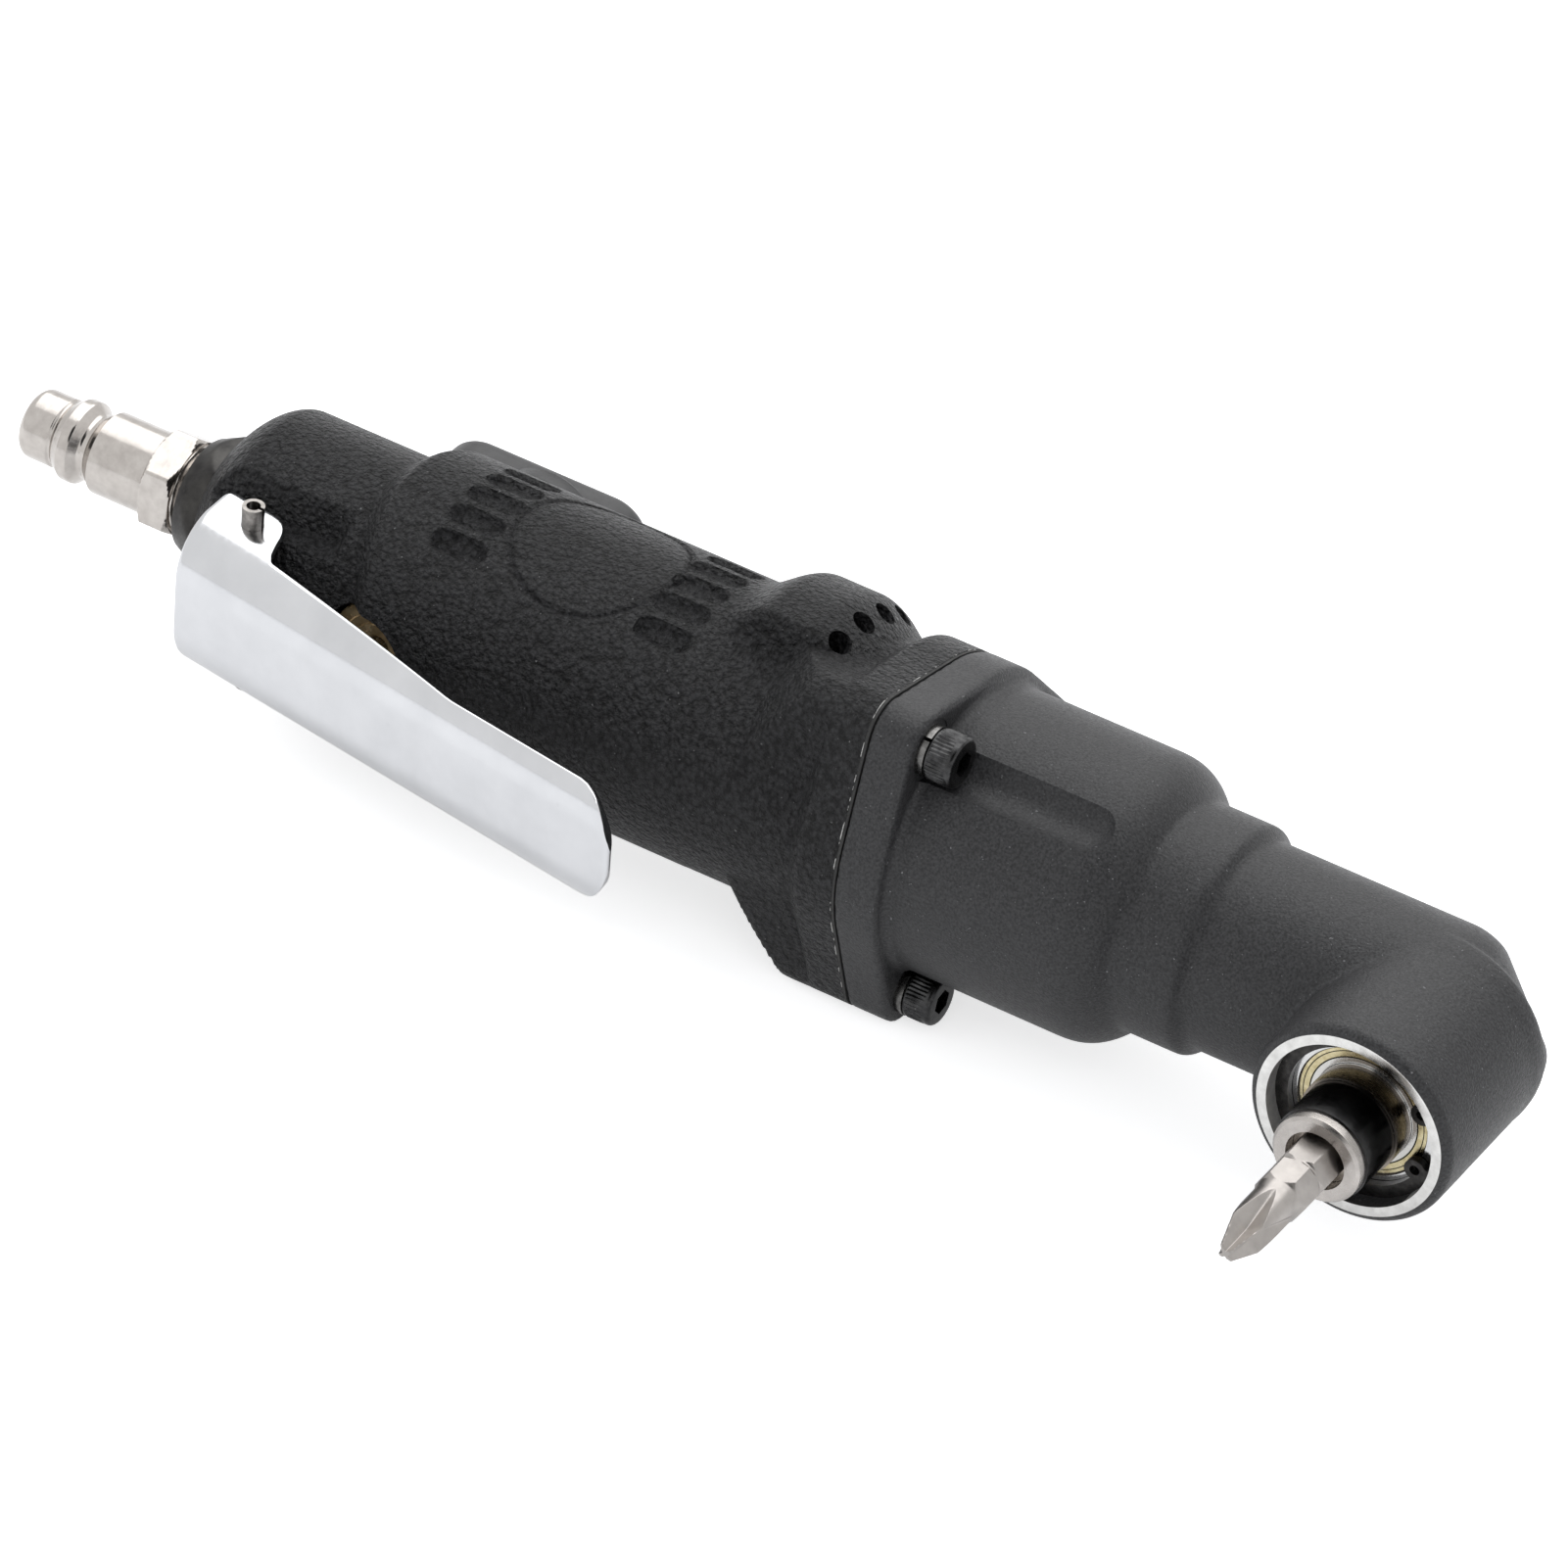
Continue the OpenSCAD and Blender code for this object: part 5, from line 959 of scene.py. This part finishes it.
def screw_radius(x, angle):
    """Radius of a screw: the threaded shank, then the head with a fine knurl of 40 flat ridges and
    a rounded top edge."""
    knurl = 0.07 * np.cos(np.deg2rad(angle * 40.0)) * ease((x - 0.35) / 0.2) * ease((3.1 - x) / 0.2)
    head = screw_head_r - 0.08 + knurl
    head = np.where(x > 3.4, head - 0.6 + np.sqrt(np.maximum(0.36 - (x - 3.4) ** 2, 0.0)), head)
    head = head - 0.15 * ease((0.2 - x) / 0.2)
    thread = 1.86 + 0.14 * np.cos(2.0 * math.pi * (x / screw_pitch - angle / 360.0))
    thread = thread - 0.5 * ease((-15.2 - x) / 0.8)
    return np.where(x < 0.0, thread, head)


screw_x = np.concatenate([spaced(-16.0, (-0.01, 0.2)), spaced(0.0, (0.6, 0.1), (3.0, 0.6), (3.4, 0.1)),
                          3.4 + 0.6 * np.sin(np.deg2rad(np.linspace(15.0, 90.0, 6)))])[:, None]
screw_angle = np.linspace(0.0, 360.0, 241)[None, :-1]
screws = []
for screw in screw_angles:
    seat = bolt_place(screw_seat_x, screw)
    made = skin_mesh("screw", place_rows(screw_x, screw_radius(screw_x, screw_angle), screw_angle) + seat,
                     shade_angle=40.0)
    socket_angle = np.arange(6) * 60.0 + screw + 12.0
    socket_x = np.array([1.8, 4.5])[:, None]
    socket = skin_mesh("socket", place_rows(socket_x, 3.0 / math.sqrt(3.0), socket_angle[None, :]) + seat)
    screws.append(carve(made, [socket], shade_angle=40.0))
case_screw_set = screws[0]
case_screw_set.name = "knurled_case_screws"
gathered = bmesh.new()
for made in screws:
    gathered.from_mesh(made.data)
gathered.to_mesh(case_screw_set.data)
gathered.free()
case_screw_set.data.set_sharp_from_angle(angle=math.radians(40.0))
drop(*screws[1:])
screw_oxide = steel_finish("screw_oxide", (0.030, 0.030, 0.031), (0.075, 0.075, 0.076), (0.2, 0.36), 0.9,
                           depth=0.006, scuffs=(0.24, 0.235, 0.23))
coat(case_screw_set, screw_oxide, "housing", "case_screws", slot="screw_black")
dress(steel_finish("washer_steel", (0.07, 0.069, 0.067), (0.22, 0.215, 0.21), (0.16, 0.32), 0.9,
                   scuffs=(0.55, 0.54, 0.52)), "spring_washers")


# Motor: a vane motor in the handle. The cylinder and its two end plates are ground cast iron,
# the vanes are pressed fibre, and ball bearings carry the rotor at both ends.

dress(steel_finish("cast_iron", (0.15, 0.148, 0.145), (0.27, 0.265, 0.26), (0.34, 0.5), 2.2, depth=0.02),
      "rear_end_plate", "motor_cylinder", "front_end_plate")
dress(steel_finish("clamp_alloy", (0.50, 0.50, 0.50), (0.64, 0.64, 0.63), (0.26, 0.42), 2.4,
                   (8.0, 0.4, 0.4), 0.008), "motor_clamp_ring", "bearing_spacer")
dress(steel_finish("rotor_steel", (0.36, 0.36, 0.36), (0.52, 0.52, 0.515), (0.2, 0.34), 3.0,
                   (0.4, 5.0, 5.0), 0.006), "rotor")
dress(steel_finish("vane_fibre", (0.20, 0.105, 0.04), (0.34, 0.19, 0.08), (0.45, 0.65), 1.0,
                   (0.4, 4.0, 4.0), 0.02, metallic=0.0), "vanes")
dress(steel_finish("bearing_steel", (0.58, 0.58, 0.58), (0.74, 0.74, 0.735), (0.08, 0.2), 2.0,
                   (0.4, 6.0, 6.0), 0.003),
      "motor_bearing_inners", "motor_bearing_outers", "motor_bearing_balls", "pinion_bearing_inners",
      "pinion_bearing_outers", "pinion_bearing_balls", "spindle_bearing_inner", "spindle_bearing_outer",
      "spindle_bearing_balls", "lock_ball")


# Planetary stage and angle drive: hardened steel gears, greased, in a ring gear that is pressed
# into the case; the carrier turns the pinion, and the pinion turns the bevel on the spindle.

dress(steel_finish("gear_steel", (0.22, 0.215, 0.20), (0.38, 0.37, 0.35), (0.18, 0.34), 1.8, depth=0.008,
                   scuffs=(0.5, 0.49, 0.47)),
      "sun_gear", "planet_gear_1", "planet_gear_2", "planet_gear_3", "ring_gear", "pinion_shaft",
      "bevel_gear")
dress(ground_steel, "planet_carrier", "planet_pins")


# Spindle: a blackened steel shaft on a needle bush above and a shielded ball bearing below.
# A golden pressed shield and a spring circlip in its groove close the barrel's mouth.

dress(steel_finish("spindle_brown", (0.20, 0.175, 0.15), (0.29, 0.26, 0.23), (0.18, 0.3), 2.4,
                   (6.0, 0.4, 6.0), 0.004), "spindle")
dress(turned_brass, "spindle_bush")
shield_gold, shield, shield_shader = new_material("shield_gold")
across, beside = combine(shield, "SUBTRACT", along(shield, "X"), head_x), along(shield, "Z")
from_middle = combine(shield, "SQRT", combine(
    shield, "ADD", combine(shield, "MULTIPLY", across, across), combine(shield, "MULTIPLY", beside, beside)))
shield_tone = tones(shield, remap(shield, noise_field(shield, 1.2, 4.0), 0.3, 0.7, 0.0, 1.0),
                    (0.40, 0.33, 0.17), (0.68, 0.61, 0.40))
for ring_from, ring_to, ring_tone in ((6.0, 7.55, (0.60, 0.59, 0.57)), (7.55, 7.75, (0.03, 0.028, 0.02)),
                                      (8.45, 8.6, (0.05, 0.045, 0.03)), (9.0, 9.3, (0.04, 0.035, 0.03))):
    from_ring = combine(shield, "SUBTRACT", from_middle, (ring_from + ring_to) / 2.0)
    inside = combine(shield, "LESS_THAN", combine(shield, "ABSOLUTE", from_ring), (ring_to - ring_from) / 2.0)
    shield_tone = tones(shield, inside, shield_tone, ring_tone)
fill(shield, shield_shader, {
    "Base Color": shield_tone, "Metallic": 1.0,
    "Roughness": remap(shield, noise_field(shield, 0.3, 2.0), 0.3, 0.7, 0.14, 0.3)})
dress(shield_gold, "bearing_shield")
dress(steel_finish("clip_black", (0.022, 0.021, 0.021), (0.060, 0.058, 0.056), (0.24, 0.4), 1.0,
                   depth=0.006, scuffs=(0.16, 0.155, 0.15)), "circlip", "sleeve_clip")
sleeve_coil = coil("sleeve_spring_coil", (head_x, -25.43, 0.0), to_bit, 5.4, 0.2, 2.0, 2.44, 8)
coat(sleeve_coil, spring_wire, "housing", "sleeve_spring", slot="spring_steel")
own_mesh(sleeve_coil)


# Quick-change chuck: a polished black sleeve that slides on the spindle against its spring, with
# a bare steel ring at its nose; a ball and a magnet hold the bit.

dress(steel_finish("sleeve_black", (0.040, 0.040, 0.041), (0.075, 0.075, 0.076), (0.12, 0.24), 2.0,
                   (6.0, 0.4, 6.0), 0.004, scuffs=(0.12, 0.115, 0.11)), "chuck_sleeve")
dress(steel_finish("nose_steel", (0.42, 0.395, 0.375), (0.52, 0.49, 0.465), (0.22, 0.34), 2.6,
                   (5.0, 0.4, 5.0), 0.006), "nose_ring")
dress(steel_finish("magnet_nickel", (0.52, 0.51, 0.50), (0.66, 0.65, 0.64), (0.14, 0.26), 1.0),
      "bit_magnet")


# Bit: a hexagon bar of warm grey tool steel with notched corners, ground down like a pencil to a
# round body and then to a cross point with four flutes. It drops out when the sleeve is pulled.

bit_tip_y = -52.3
bit_bar_len = 30.0


def bit_radius(rise, angle):
    """Radius of the bit at a height above its tip, the least of these: the hexagon, the 30 degree
    cone that sharpens it, a body that flares as a square, the straight taper of the point, a round
    notch that reaches only the corners, the chamfer at the rear, and four flutes. A flute is a V of
    92 degrees with a round floor, which lies level along the point and then runs out on a straight
    line."""
    body_r = 2.95 + 0.225 * np.clip((rise - 10.8) / 1.7, 0.0, 1.0) ** 2
    cone = np.where(rise > 12.5, 3.175 + 0.577 * (rise - 12.5), body_r)
    point = 1.15 + 0.37 * rise - 0.4 * ease((0.35 - rise) / 0.35)
    notch = 4.0 - 0.8 * np.sqrt(np.maximum(1.0 - ((rise - 17.2) / 0.55) ** 2, 0.0))
    rear = 3.3 + bit_bar_len - rise
    body = np.minimum(np.minimum(hexagon(angle, 6.35), cone), np.minimum(np.minimum(point, notch), rear))
    floor_r = blend_max(0.45 + 0.02 * rise, 0.54 + 0.395 * (rise - 4.9), 1.0)
    off = np.deg2rad((angle - 40.0) % 90.0 - 45.0)
    spread = np.cos(off) - 0.966 * (np.sqrt(np.sin(off) ** 2 + 0.012) - 0.11)
    return np.minimum(body, floor_r / np.maximum(spread, 0.05))


bit_rise = spaced(0.0, (0.35, 0.07), (14.0, 0.1), (16.6, 0.65), (17.8, 0.06), (29.5, 2.0),
                  (bit_bar_len, 0.12))[:, None]
bit_angle = np.linspace(0.0, 360.0, 241)[None, :-1]
bit_r = bit_radius(bit_rise, bit_angle)
cross_bit = skin_mesh("cross_point_bit", np.stack([
    head_x + bit_r * np.cos(np.deg2rad(bit_angle)), bit_tip_y + bit_rise + 0.0 * bit_r,
    bit_r * np.sin(np.deg2rad(bit_angle))], axis=-1), shade_angle=22.0)
tool_steel = steel_finish("tool_steel", (0.33, 0.31, 0.295), (0.42, 0.395, 0.375), (0.28, 0.4), 2.6,
                          (4.0, 0.4, 4.0), 0.008, scuffs=(0.27, 0.25, 0.235))
coat(cross_bit, tool_steel, "bit", "bit", slot="bit_steel")
